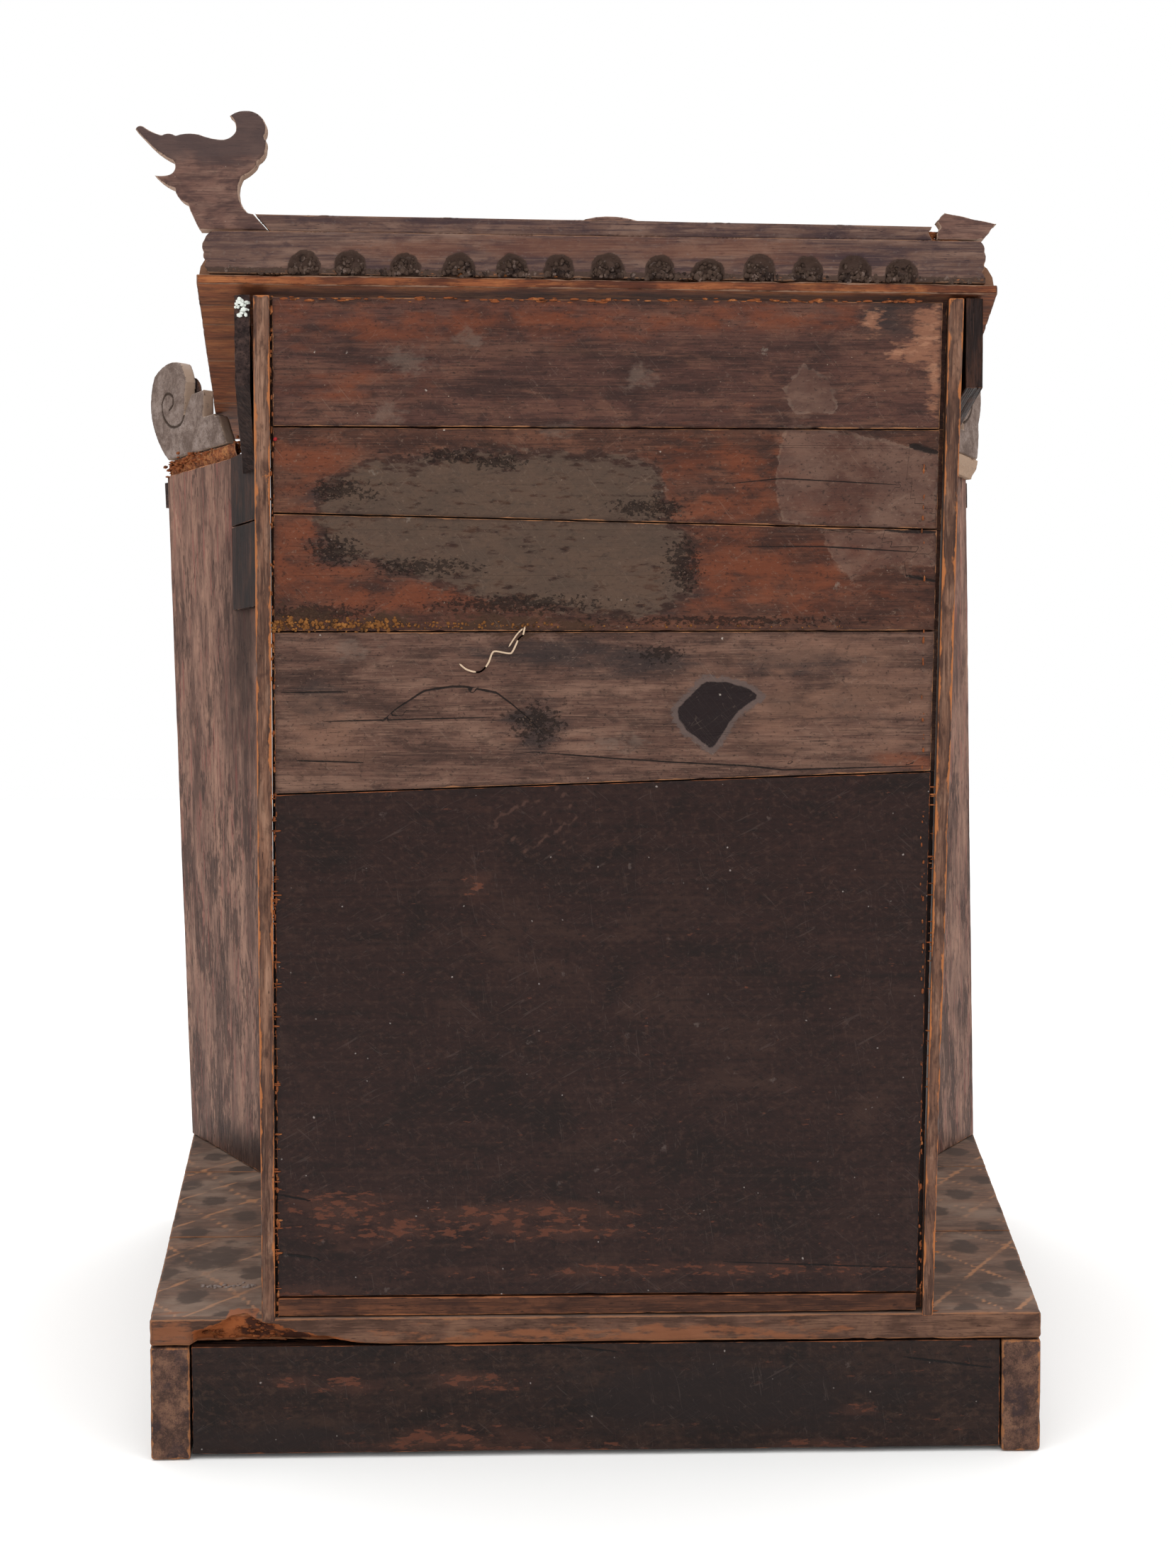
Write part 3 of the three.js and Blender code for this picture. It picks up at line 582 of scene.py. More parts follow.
def back_plank_finish(name, tones):
    """Stained cedar planks with water stains, old crust, bare patches and a black resin patch."""
    finish = old_wood(name, tones, 0.5, streak=(120, 3.4), cloud=(90, 20))
    finish.coat("red", 0.2, 0.9, "#6c3822", 0.7, 2.0, (30, 8), patchy=(30, 12))
    finish.coat("soot", 0.3, 0.9, "#2b2322", 0.8, 1.6, (24, 5))
    grit = finish.blotches(2.2, 1.5, detail=6.0)
    finish.coat("pale", 0.46, 0.5, "#8b7466", 0.3, 0.5, (6, 4), rough=0.62, patchy=(30, 30))
    finish.coat("pale", 0.51, 0.56, "#4d322a", 0.65, 0.5, (8, 6))
    finish.coat("pale", 0.4, 1.0, "#7d6152", 0.28, 3.4, (14, 6), patchy=(24, 16))
    finish.coat("haze", 0.2, 0.9, "#7d5b4a", 0.5, 1.6, (30, 8), patchy=(30, 12))
    finish.coat("stain", 0.45, 0.5, "#5f4236", 0.35, 0.6, (7, 4), rough=0.8, raised=0.1)
    finish.coat("stain", 0.49, 0.56, "#2b1c18", 0.7, 0.9, (9, 4))
    finish.coat("stain", 0.54, 0.66, "#321f19", 0.75, 0.9, (14, 5))
    finish.coat("stain", 0.5, 0.9, "#261813", 0.75, 3.0, (16, 6), patchy=(40, 20))
    finish.coat("stain", 0.6, 0.95, "#523829", 0.4, 3.4, (6, 2.5), raised=0.15, patchy=(24, 14))
    finish.coat(grit, 0.42, 0.33, "#1f1512", 0.55, raised=-0.2)
    finish.coat(grit, 0.6, 0.68, "#7d6556", 0.35, raised=0.2)
    crust = finish.blotches(3.2, 2.2, detail=6.0)
    finish.coat("stain", 0.6, 0.9, "#5d4c40", 0.5, 2.2, (9, 3), raised=0.15)
    finish.lift(crust, 0.3)
    finish.coat("bare", 0.4, 0.7, "#855a45", 0.75, 1.6, (9, 3), rough=0.7)
    finish.coat("bare", 0.6, 0.95, "#a0745b", 0.5, 2.6, (8, 2), rough=0.75, patchy=(12, 6))
    finish.coat("smudge", 0.3, 0.9, "#6a5a50", 0.4, 2.4, (6, 4), rough=0.8)
    finish.coat("crust", 0.55, 0.8, "#1d1512", 0.75, 3.0, (2.6, 1.8), rough=0.9, raised=0.4)
    finish.coat("resin_rim", 0.42, 0.6, "#564945", 0.85, 0.8, (3, 2), rough=0.8, raised=0.2)
    finish.coat("resin", 0.46, 0.54, "#1b1112", 0.97, 0.2, (3, 3), rough=0.25, raised=-0.3)
    finish.line("crack", "#140c0a")
    finish.coat("frass", 0.4, 0.8, "#3d2b20", 0.85, 2.0, (5, 3), rough=0.9, raised=0.3)
    # Painted shade: darker within a few mm of every arris, so that the seams between the planks read as
    # shaded.
    finish.coat("edge", 2.6, 0.2, "#2a1c18", 0.45, 3.0, (20, 4))
    worn_edges(finish, "#9a6a48", 0.45, 3.6, 0.8)
    scratched(finish, 2.5, 0.9, "#8d7a6c", 0.16)
    scratched(finish, 3.1, -0.6, "#8d7a6c", 0.12)
    specked(finish, 13, 1.3, "#b3a79c", 0.3, 0.7)
    specked(finish, 23, 4.5, "#75685e", 0.35, 0.6)
    specked(finish, 4, 0.6, "#9b8878", 0.12, 0.7)
    return finish.done()


def lacquer_finish(name, tone, dark, light, along=0):
    """Black lacquer gone brown over boards: nearly flat, silky, with dull olive clouds and dust stars."""
    finish = Finish(name, tone, 0.42, along)
    clouds = finish.blotches(60, 34, bent=0.8)
    finish.coat(clouds, 0.5, 0.32, dark, 0.85)
    finish.coat(clouds, 0.5, 0.72, light, 0.6)
    grain = finish.blotches(70, 2.4, detail=9.0)
    finish.coat(grain, 0.5, 0.35, dark, 0.4)
    finish.coat(grain, 0.54, 0.68, light, 0.25)
    grit = finish.blotches(3.5, 2.4, detail=6.0)
    finish.coat(grit, 0.52, 0.66, light, 0.6)
    finish.coat(grit, 0.46, 0.34, dark, 0.7)
    finish.lift(grain, 0.14).lift(grit, 0.16)
    finish.coat("scuff", 0.2, 0.9, "#42281f", 0.5, 2.4, (20, 7))
    finish.coat("scuff", 0.75, 1.1, "#5f3626", 0.65, 5.0, (8, 2.6), rough=0.65, raised=-0.12)
    finish.coat("soot", 0.3, 0.8, "#1c1413", 0.8, 1.2, (20, 8))
    finish.coat("scratch", 0.5, 0.9, "#5a3f35", 0.4, 1.6, (3, 3))
    finish.line("crack", "#0d0808")
    # Painted shade: darker within a few mm of every arris, where the boards meet.
    finish.coat("edge", 3.0, 0.2, "#1a1110", 0.5, 4.0, (20, 6))
    worn_edges(finish, "#8a4f2e", 0.35, 3.4, 0.9)
    for slope, spacing in ((0.7, 2.6), (-0.5, 3.3), (1.4, 3.0)):
        scratched(finish, spacing, slope, "#6b5a53", 0.14)
    specked(finish, 17, 3.4, "#5c4f4a", 0.35, 0.45)
    specked(finish, 12, 1.1, "#a0948e", 0.4, 0.7)
    specked(finish, 6, 0.9, "#8f8580", 0.25, 0.8)
    specked(finish, 39, 3.2, "#8a4a2c", 0.3, 0.85)
    return finish.done(0.16)


def make_finishes():
    """Every material, by the name of the pieces that it is for."""
    kinds = {}
    kinds["plank_1"] = back_plank_finish("cedar_plank_weathered", ("#593f35", "#33231e", "#7a5d4e"))
    kinds["plank_2"] = back_plank_finish("cedar_plank_red_brown", ("#482b21", "#2c1a15", "#633e2e"))
    kinds["plank_3"] = back_plank_finish("cedar_plank_brown", ("#4d3025", "#2e1c17", "#6a4534"))
    kinds["plank_4"] = back_plank_finish("cedar_plank_umber", ("#4a2f28", "#2b1c19", "#664537"))
    kinds["lacquer"] = lacquer_finish("black_lacquer_browned", "#251512", "#170e0c", "#38251e")
    kinds["rail"] = lacquer_finish("black_lacquer_smoked", "#221410", "#120b09", "#38261d")
    # The strip at the panel's foot: cedar, satin along the grain, rubbed to orange at its arrises.
    strip = old_wood("cedar_strip_rubbed", ("#452a1e", "#2a1812", "#6a4029"), 0.5)
    kinds["strip"] = worn_edges(strip, "#8b5636", 0.7, 3.5).done()
    # Cypress stiles: vertical grain, nearly black in the hollows, painted shade near the arrises, and orange
    # where the arrises are rubbed.
    stile = old_wood("cypress_stile_worn", ("#72503f", "#33221c", "#987560"), 0.52, 2, cloud=(60, 12))
    # Painted shade: darker within a few mm of every arris, where the stile meets the boards beside it.
    stile.coat("edge", 3.2, 0.4, "#332320", 0.5, 4.0, (40, 4))
    worn_edges(stile, "#a5653a", 1.0, 7.0, 0.9)
    specked(stile, 21, 4.5, "#9a5f38", 0.3, 0.8)
    kinds["stile"] = specked(stile, 9, 1.4, "#1f1513", 0.3, 0.8).done()
    # Cypress wings: faded to a dusty pink brown, with dark streaks and short tool marks along the grain.
    wing = old_wood("cypress_wing_faded", ("#785a4d", "#45302a", "#997563"), 0.6, 2, (60, 4), cloud=(110, 14))
    wing.coat(wing.blotches(50, 2.6), 0.56, 0.64, "#7f4a42", 0.6)
    wing.coat("tool", 0.4, 0.6, "#382722", 0.75, 3.0, (9, 1.6), raised=-0.3)
    wing.coat("orange", 0.3, 0.9, "#8d5232", 0.8, 2.0, (14, 4))
    wing.coat("soot", 0.2, 0.9, "#2b1c18", 0.85, 0.8, (20, 8))
    kinds["wing"] = worn_edges(wing, "#a9724f", 0.8, 4.0).done()
    # Carved scrolls: soft dust on bare wood, darker in the incised spiral.
    scroll = old_wood("carved_wood_dusty", ("#76665e", "#564740", "#8d7e77"), 0.85, 0, (12, 3.0), (7, 0.9),
                      cloud=(26, 18))
    scroll.coat("groove", 0.2, 0.8, "#33271f", 0.85, 0.3, (2, 2))
    scroll.coat("broken", 0.3, 0.8, "#9a5d38", 0.85, 1.6, (4, 6), rough=0.9, raised=0.3)
    kinds["scroll"] = dusty(worn_edges(scroll, "#96806f", 0.6, 2.0), "#a2968f", 0.7).done(0.1)
    # Fretwork of stained softwood, sawn and rasped: dull, with pale rubbed arrises and specks of dust.
    finial = old_wood("fretwork_stained", ("#64483f", "#3c2b29", "#7f6255"), 0.55, 0, (24, 4), cloud=(24, 16))
    finial.coat("soot", 0.2, 0.9, "#463836", 0.8, 1.2, (12, 6))
    specked(finial, 6, 0.7, "#a5968c", 0.25, 0.7)
    kinds["finial"] = worn_edges(finial, "#a58a78", 0.5, 1.6).done()
    # The roof's back edge: brown wood under soot, with lumpy ash in the mortises and along its foot.
    fascia = old_wood("fascia_smoked", ("#5b433a", "#35272a", "#7a6053"), 0.62, 0, (70, 1.9), (30, 0.8),
                      (60, 8))
    fascia.coat("red", 0.2, 0.8, "#68402f", 0.45, 1.6, (30, 4))
    fascia.coat("soot", 0.3, 0.8, "#39302f", 0.8, 1.2, (26, 5))
    fascia.coat("ash", 0.35, 0.6, "#41322b", 0.9, 0.9, (4, 3), rough=0.95)
    lumps = fascia.blotches(2.4, 1.6, detail=6.0)
    fascia.coat(lumps, 0.55, 0.75, "#6f615b", 0.4)
    fascia.lift(lumps, 0.3)
    fascia.coat("bare", 0.4, 0.65, "#b06c3c", 0.9, 1.0, (5, 2), rough=0.8)
    specked(fascia, 8, 0.7, "#a39488", 0.25, 0.7)
    kinds["fascia"] = worn_edges(fascia, "#8d6850", 0.4, 3.0, 0.6).done()
    # Soffit boards of raw cedar: dry and warm orange, with a little soot and painted shade along the joints.
    soffit = old_wood("cedar_soffit_raw", ("#7d462a", "#43241a", "#a3673d"), 0.7, 0, (70, 3), cloud=(60, 18))
    soffit.coat("soot", 0.3, 0.8, "#2b1d18", 0.85, 1.4, (16, 6))
    # Painted shade: dark within a mm or so of every arris, so that the joints read as shaded.
    soffit.coat("edge", 1.4, 0.3, "#1d110c", 0.8, 1.6, (20, 5))
    kinds["soffit"] = worn_edges(soffit, "#8d6c58", 0.8, 3.5, 0.7).done()
    # Charred softwood: nearly black, dry and coarse, brown where the arrises are rubbed.
    black = old_wood("softwood_charred", ("#332624", "#150e0d", "#544039"), 0.8, 1, (18, 2.0), (8, 0.9),
                     cloud=(30, 12), relief=0.45)
    kinds["black"] = worn_edges(black, "#6b4a38", 0.5, 3.0, 0.6).done()
    # Blocks and a beam soaked dark with old glue: near black and a little silky.
    glue = old_wood("glue_block_dark", ("#251714", "#120b09", "#472c20"), 0.5, 2, (40, 4))
    kinds["glue"] = worn_edges(glue, "#6b4632", 0.6, 3.0, 0.8).done()
    # The plinth's top: dusty, with the ghost of a lattice of old glue lines, dark oval spots, and painted
    # shade in its torn corner and near its arrises.
    top = old_wood("plinth_top_dusty", ("#5c4236", "#3a2820", "#7b5a47"), 0.78, 0, (50, 4), cloud=(60, 40))
    top.coat("lattice", 0.4, 0.9, "#a5714c", 0.85, 1.0, (10, 10), patchy=(40, 40))
    top.coat("dust", 0.9, 1.3, "#8d7869", 0.6, 1.4, (46, 30))
    top.coat("soot", 0.35, 0.9, "#2b1d19", 0.85, 2.2, (12, 9))
    top.coat("bare", 0.42, 0.8, "#7d4d33", 0.75, 2.4, (14, 4), rough=0.7)
    top.coat("torn", 0.3, 0.6, "#8d4f2c", 0.95, 0.8, (4, 3), rough=0.95)
    # Painted shade deep in the hollow of the torn corner.
    top.coat("char", 0.4, 0.7, "#2f1c18", 0.9, 1.4, (6, 4), rough=0.95)
    # Painted shade: darker within a few mm of every arris.
    top.coat("edge", 2.6, 0.3, "#3a2720", 0.4, 3.0, (20, 6))
    kinds["top"] = dusty(worn_edges(top, "#8a5c3e", 1.2, 5.0, 0.75), "#94867c", 0.16).done()
    # The plinth's boards: dull bruised softwood, rubbed to orange at the arrises.
    side = old_wood("plinth_board_bruised", ("#5b4136", "#31231f", "#7d5b47"), 0.62, 1, (60, 5),
                    cloud=(30, 14))
    side.coat(side.blotches(24, 12), 0.52, 0.62, "#2b2226", 0.6)
    kinds["side"] = worn_edges(side, "#94623f", 1.4, 7.0).done()
    # Broken moulding: matt and splintered, orange where it is raw, paler where it is whole, and darkened by
    # painted shade at the left one's foot.
    cap = old_wood("moulding_broken", ("#8a4f2f", "#43251a", "#b8804f"), 0.8, 0, (12, 2.0), (6, 0.8),
                   cloud=(14, 5), relief=0.5)
    cap.coat("pale", 0.3, 0.8, "#a28a76", 0.9, 0.8, (20, 8))
    # On the left cap this is painted shade at its hollowed foot.
    cap.coat("soot", 0.4, 0.8, "#25170f", 0.9, 1.0, (8, 3))
    kinds["cap"] = worn_edges(cap, "#a57c62", 0.6, 3.5).done()
    # Boards at the front and on top: plain cedar under a little dust.
    hidden = old_wood("cedar_plain", ("#523a2f", "#35251f", "#6f5142"), 0.62, 0, (70, 4))
    kinds["plain"] = dusty(worn_edges(hidden, "#84604a", 0.8, 3.0), "#8d8078", 0.6).done()
    # Loose matter, all of it matt: frass and sawdust, black crust and ash, chalky gesso, and cotton lint.
    frass = Finish("sawdust_crumbs", "#704826", 0.95)
    frass.coat(frass.blotches(9), 0.45, 0.35, "#33241a", 0.85)
    kinds["frass"] = frass.coat(frass.blotches(3), 0.52, 0.62, "#9a6736", 0.55).done(0.1)
    raw = Finish("torn_cedar_fibre", "#7d4629", 0.9)
    raw.coat(raw.blotches(6), 0.48, 0.38, "#4d2c1a", 0.8)
    kinds["raw"] = raw.coat(raw.blotches(3), 0.54, 0.64, "#ab7043", 0.6).done(0.1)
    ash = Finish("ash_and_glue_filler", "#46372f", 0.95)
    ash.coat(ash.blotches(9), 0.5, 0.38, "#1d1514", 0.8)
    kinds["ash"] = ash.coat(ash.blotches(3), 0.54, 0.64, "#75635b", 0.6).done(0.1)
    gesso = Finish("chalk_gesso", "#d9ddd6", 0.9)
    kinds["gesso"] = gesso.coat(gesso.blotches(4), 0.45, 0.33, "#8d9188", 0.7).done(0.2)
    kinds["cotton"] = Finish("cotton_thread", "#c4ab92", 0.9).done(0.1)
    kinds["lint"] = Finish("grey_lint", "#7d706a", 0.95).done(0.1)
    red = Finish("red_lead_dot", "#8e2224", 0.6)
    kinds["red_dot"] = red.coat(red.blotches(2), 0.45, 0.35, "#5e1a1a", 0.8).done()
    return kinds


# ---------------------------------------------------------------- marks on the back
def inside_mark(points, outline, reach=8.0):
    """0.5 on a closed outline in X and Z, rising to 1 reach mm inside it and falling to 0 outside."""
    distance, _, inside = near_outline(points[:, [0, 2]], np.array(outline, float))
    return np.clip(0.5 + np.where(inside, distance, -distance) / (2 * reach), 0, 1)


def spot_mark(points, *spots):
    """The strongest of some soft ellipses: each is its middle x and z, half width and half height."""
    marks = [1 - np.hypot((points[:, 0] - x) / a, (points[:, 2] - z) / b) * 0.5 for x, z, a, b in spots]
    return np.clip(np.max(marks, axis=0), 0, 1)


def crack_mark(points, *cracks):
    """Signed height above the nearest crack in units of its half width. Each crack is a list of x, z
    points from left to right and its half width, which shrinks to nothing at both ends."""
    nearest = np.full(len(points), 1e3)
    for line, half in cracks:
        x, z = np.array(line, float).T
        way = np.clip((points[:, 0] - x[0]) / (x[-1] - x[0]), 0, 1)
        width = half * np.clip(np.sqrt(4 * way * (1 - way)), 0.02, 1)
        away = (points[:, 2] - np.interp(points[:, 0], x, z)) / width
        nearest = np.where(np.abs(away) < np.abs(nearest), away, nearest)
    return nearest


# Outlines of the marks on the back planks, as x and z in mm, and the cracks with their half widths.
STAIN = [(-130, 481), (-118, 487), (-112, 491), (-90, 492), (-59, 495), (-20, 495), (6, 494), (32, 488),
         (33, 476), (37, 460), (52, 450), (42, 441), (49, 428), (42, 421), (19, 412), (-8, 414), (-30, 418),
         (-59, 424), (-88, 431), (-112, 440), (-127, 441), (-132, 449), (-136, 456), (-138, 462), (-134, 472)]
PALE = [
    [(93, 507), (90, 498), (88, 485), (88, 473), (91, 460), (117, 458), (165, 457), (167, 494), (116, 504)],
    [(110, 456), (115, 442), (124, 432), (144, 439), (166, 439), (166, 455)],
    [(96, 512), (92, 524), (100, 536), (112, 530), (118, 514)],
]
BARE = [
    [(168, 567), (157, 562), (154, 549), (142, 542), (144, 538), (161, 537), (163, 526), (161, 511),
     (168, 507)],
    [(129, 562), (130, 557), (135, 550), (139, 557), (137, 563)],
]
RESIN = [(52, 383), (63, 383), (74, 380), (81, 375), (72, 369), (68, 365), (65, 361), (61, 354), (56, 348),
         (51, 352), (43, 358), (39, 364), (38, 369), (46, 377)]
CRACKS = [
    ([(-109, 359), (-98, 369), (-84, 378), (-71, 380), (-65, 380), (-49, 377), (-41, 371), (-34, 365),
      (-26, 357)], 0.5),
    ([(-41, 347), (-31, 348), (6, 345), (36, 343), (74, 341), (91, 339), (128, 340), (163, 341)], 0.35),
    ([(-155, 377), (-120, 377.5)], 0.35), ([(-148, 344), (-112, 343)], 0.35),
    ([(-135, 363), (-50, 365)], 0.3),
    ([(60, 478), (90, 481), (150, 478)], 0.25), ([(70, 448), (110, 448), (163, 445)], 0.3),
    ([(140, 456), (166, 455)], 0.8), ([(152, 497), (167, 494)], 1.6), ([(150, 434), (167, 431)], 0.7),
]


def plank_marks(shell):
    """The marks that the back planks share, worked out from where their points lie."""
    p = shell.points
    shell.marks["stain"] = inside_mark(p, STAIN)
    shell.marks["pale"] = np.max([inside_mark(p, outline) for outline in PALE], axis=0)
    shell.marks["bare"] = np.max([inside_mark(p, outline) for outline in BARE], axis=0)
    resin = inside_mark(p, RESIN, 4)
    shell.marks["resin"] = np.clip(resin - 0.12, 0, 1)
    shell.marks["resin_rim"] = np.clip(resin + 0.22, 0, 1)
    shell.marks["crack"] = crack_mark(p, *CRACKS)
    shell.marks["red"] = spot_mark(
        p, (-110, 556, 60, 9), (-5, 558, 90, 7), (80, 559, 60, 6), (-118, 526, 30, 7), (-150, 440, 50, 22),
        (-100, 425, 60, 9), (80, 434, 50, 18), (70, 478, 34, 24), (-140, 490, 24, 14), (150, 343, 16, 4))
    shell.marks["soot"] = spot_mark(
        p, (20, 467, 16, 6), (-128, 446, 12, 12), (-84, 438, 22, 6), (-60, 491, 22, 4), (-125, 472, 20, 8),
        (36, 430, 16, 16), (-30, 360, 14, 14), (20, 392, 30, 8), (100, 392, 30, 7), (90, 372, 8, 5),
        (-135, 372, 14, 10), (120, 372, 10, 5), (140, 560, 14, 10), (-20, 396, 40, 8))
    shell.marks["crust"] = spot_mark(
        p, (-70, 492, 16, 3), (-49, 489, 12, 3), (-125, 475, 14, 5), (-128, 446, 12, 7), (-84, 438, 22, 4),
        (20, 467, 12, 4), (33, 466, 9, 5), (-40, 420, 40, 4), (42, 440, 8, 12), (-30, 362, 12, 8),
        (-135, 416, 22, 4), (60, 412, 60, 2), (30, 396, 10, 4))
    shell.marks["haze"] = spot_mark(p, (116, 376, 56, 30), (-132, 356, 24, 14))
    shell.marks["smudge"] = spot_mark(
        p, (-92, 538, 9, 6), (-101, 512, 7, 5), (-60, 548, 8, 4), (20, 530, 8, 5), (-20, 505, 10, 3),
        (-118, 398, 9, 5), (10, 352, 12, 4))
    shell.marks["frass"] = spot_mark(
        p, (-142, 413, 18, 6), (-104, 412, 14, 4), (-46, 410, 26, 6), (-12, 409, 12, 4))


# A scratched diamond and two strokes across it near the head of the lower panel, as x and z in mm.
PANEL_SCRATCH = [(-46, 332), (-22, 336), (-10, 316), (-34, 300), (-52, 314), (-30, 326), (-14, 300)]


def panel_marks(shell):
    """The lower panel's marks: cracks from its ends, scuffs near its foot and the scratched figure."""
    p = shell.points
    shell.marks["crack"] = crack_mark(
        p, ([(-158, 102), (-135, 99)], 0.6), ([(60, 96), (163, 92)], 0.3), ([(-157, 131), (-140, 128)], 0.5))
    shell.marks["scuff"] = spot_mark(
        p, (-130, 124, 26, 8), (-95, 113, 40, 6), (-40, 121, 50, 5), (-20, 112, 40, 4), (-58, 282, 6, 5),
        (60, 92, 90, 3), (-148, 82, 30, 3))
    drawn = np.array(PANEL_SCRATCH, float)
    away = near_outline(p[:, [0, 2]], np.concatenate([drawn, drawn[::-1]]))[0]
    shell.marks["scratch"] = ease(away, 1.6, 0.4)


FACE_DEPTH = 5.0    # mm of each back board that its worn face layer takes
TONGUE_DEPTH = 4.0  # mm of it that the tongue behind takes
TONGUE_RISE = 1.2   # mm by which the tongue stands up behind the joint above
BACK_BOARDS = {     # each board's finish, slot, grid cell in mm and marks
    "plank_1": ("plank_1", "aged_brown_wood", 1.9, plank_marks),
    "plank_2": ("plank_2", "red_stained_wood", 2.2, plank_marks),
    "plank_3": ("plank_3", "aged_brown_wood", 2.2, plank_marks),
    "plank_4": ("plank_4", "red_stained_wood", 2.2, plank_marks),
    "lower_panel": ("lacquer", "blackened_wood", 3.0, panel_marks),
    "bottom_strip": ("strip", "raw_orange_wood", 2.2, None),
}


def make_back(kinds):
    """The boards that close the niche: each is a worn face layer in front of a plain tongue, which
    stands up a little behind the joint above, so that no light comes through it."""
    for i, (name, (finish, slot, cell, mark)) in enumerate(BACK_BOARDS.items()):
        node = f"back_{name}"
        corners = corners_of(node)
        face, tongue = corners.copy(), corners.copy()
        face[:, 1] = face[:, 0] + [0, FACE_DEPTH, 0]
        tongue[:, 0] = tongue[:, 1] - [0, TONGUE_DEPTH, 0]
        if name != "plank_4":  # the top one has the soffit above it
            tongue[:, :, 1] += [0, 0, TONGUE_RISE]
        shell = board(face, (cell, 3, cell), 0.8, 10 + i, ripple=0.3, fibre=0.16, chips=0.7)
        if mark:
            mark(shell)
        back = board(tongue, (7, 4, 7), 0.6, 20 + i, chips=0)
        piece(f"{node}_worn", [shell, back], kinds[finish], slot, node)


# ---------------------------------------------------------------- plain boards
def part_of(corners, axis, start, stop):
    """The part of a board between two shares of the way along one of its axes."""
    low, high = np.take(corners, 0, axis), np.take(corners, 1, axis)
    return np.stack([low + (high - low) * start, low + (high - low) * stop], axis)


def worn_board(node, finish, slot, cell, seed, along=0, basis=np.eye(3), marks=None, square=False, **wear):
    """A board laid on a CAD node's eight corners. marks(points) names the marks on it. square stands its
    ends upright, over the corners of its underside."""
    corners = corners_of(node, basis)
    if square:
        corners[:, :, 1, 0] = corners[:, :, 0, 0]
    shell = board(corners, cell, seed=seed, along=along, **wear)
    if marks:
        shell.marks.update(marks(shell.points))
    return piece(f"{node}_worn", shell, finish, slot, node)


def make_walls(kinds):
    """The niche's side walls, and outside each the beam that carries the roof."""
    for seed, side, beam in ((30, "left", "black"), (31, "right", "glue")):
        worn_board(f"niche_wall_{side}", kinds["stile"], "aged_brown_wood", (1.6, 6, 4), seed, 2,
                   arris=1.3, ripple=0.45, fibre=0.15, chips=1.0)
        worn_board(f"side_beam_{side}", kinds[beam], "blackened_wood", (1.6, 4.5, 2.4), seed + 2, 1,
                   arris=0.9, ripple=0.5, fibre=0.5, chips=1.4)


# The torn lower back corner of the plinth's top: how high the tear reaches at each X.
TEAR = [(-200, 57), (-199, 63.5), (-188, 66.5), (-180.5, 71), (-173, 71.5), (-165, 68.2), (-146.5, 62.5),
        (-118, 57.6), (-92, 56)]
TEAR_DEPTH = 9.0


def tear_edge(x):
    """How high the tear reaches at each X: straight from place to place, and 0 beyond its ends."""
    places, heights = np.array(TEAR, float).T
    return np.interp(x, places, heights, left=0, right=0)


def tear_open(points):
    """Pushes the torn corner in: below the tear's edge the back face goes in by TEAR_DEPTH, less where
    fibres are left standing, and what lies behind closes up over four times that depth."""
    edge = tear_edge(points[:, 0])
    fibres = 0.75 + 0.35 * rough_noise(points * [0.16, 0.3, 0.5], 77)
    depth = TEAR_DEPTH * ease(edge - points[:, 2], -0.6, 1.6) * np.clip(fibres, 0.3, 1)
    reach = 4 * TEAR_DEPTH
    points = points.copy()
    points[:, 1] += depth * np.clip(1 - points[:, 1] / reach, 0, 1)
    return points


def top_marks(points):
    """The plinth top's marks: the torn corner and painted shade in its hollow, rubbed arris, soot, dust, and a
    lattice of glue lines.
    """
    edge = tear_edge(points[:, 0])
    torn = ease(edge - points[:, 2], -1.5, 0.5) * (points[:, 1] < 14)
    # Where a point lies in its diamond of the lattice, whose sides are at half a unit.
    bent = points + 2.5 * noise(points / 30, 5)[:, None]
    raised = ((points[:, 2] > points[:, 2].max() - 3) & (points[:, 1] > 4)).astype(float)
    slant = np.stack([bent[:, 0] / 46 + bent[:, 1] / 66, bent[:, 0] / 46 - bent[:, 1] / 66])
    lattice = (slant + 0.5) % 1 - 0.5
    return {
        "torn": torn,
        # Painted shade in the hollow of the tear.
        "char": torn * spot_mark(points, (-168, 64, 9, 7), (-150, 60, 12, 4)),
        "bare": np.where(points[:, 1] < 12, spot_mark(points, (-213, 64, 14, 6), (-205, 58, 16, 5),
                                                      (-60, 58, 60, 5), (40, 59, 70, 6)), 0),
        "soot": np.maximum(
            np.clip(1 - np.hypot((points[:, 0] + 212) / 26, (points[:, 1] - 90) / 24) * 0.5, 0, 1),
            raised * ease(np.hypot(*lattice), 0.34, 0.16)),
        "dust": raised,
        "lattice": raised * ease(np.abs(0.5 - np.abs(lattice)).min(0), 0.05, 0.02),
    }


def rail_marks(points):
    """Scuffs, soot and two cracks on the back rail."""
    return {
        "scuff": spot_mark(points, (-75, 9, 38, 5), (-30, 4, 40, 3), (-100, 5, 20, 3), (-120, 36, 16, 4),
                           (-150, 38, 10, 3), (-60, 38, 20, 4), (130, 22, 8, 3), (110, 4, 20, 3)),
        "soot": spot_mark(points, (-150, 10, 50, 10), (60, 30, 90, 20)),
        "crack": crack_mark(points, ([(-30, 56), (10, 52)], 0.5), ([(150, 48), (197, 42)], 0.5)),
    }


# The boards of the plinth's top, finest where they are seen from near.
TOP_BOARDS = {
    "rear": dict(cell=(2.6, 2.6, 2.0), arris=2.6, ripple=0.5, fibre=0.2, chips=1.2, bend=tear_open),
    "middle": dict(cell=(4, 4, 3), arris=2.2),
    "front": dict(cell=(4.5, 4.5, 3), arris=2.2),
}


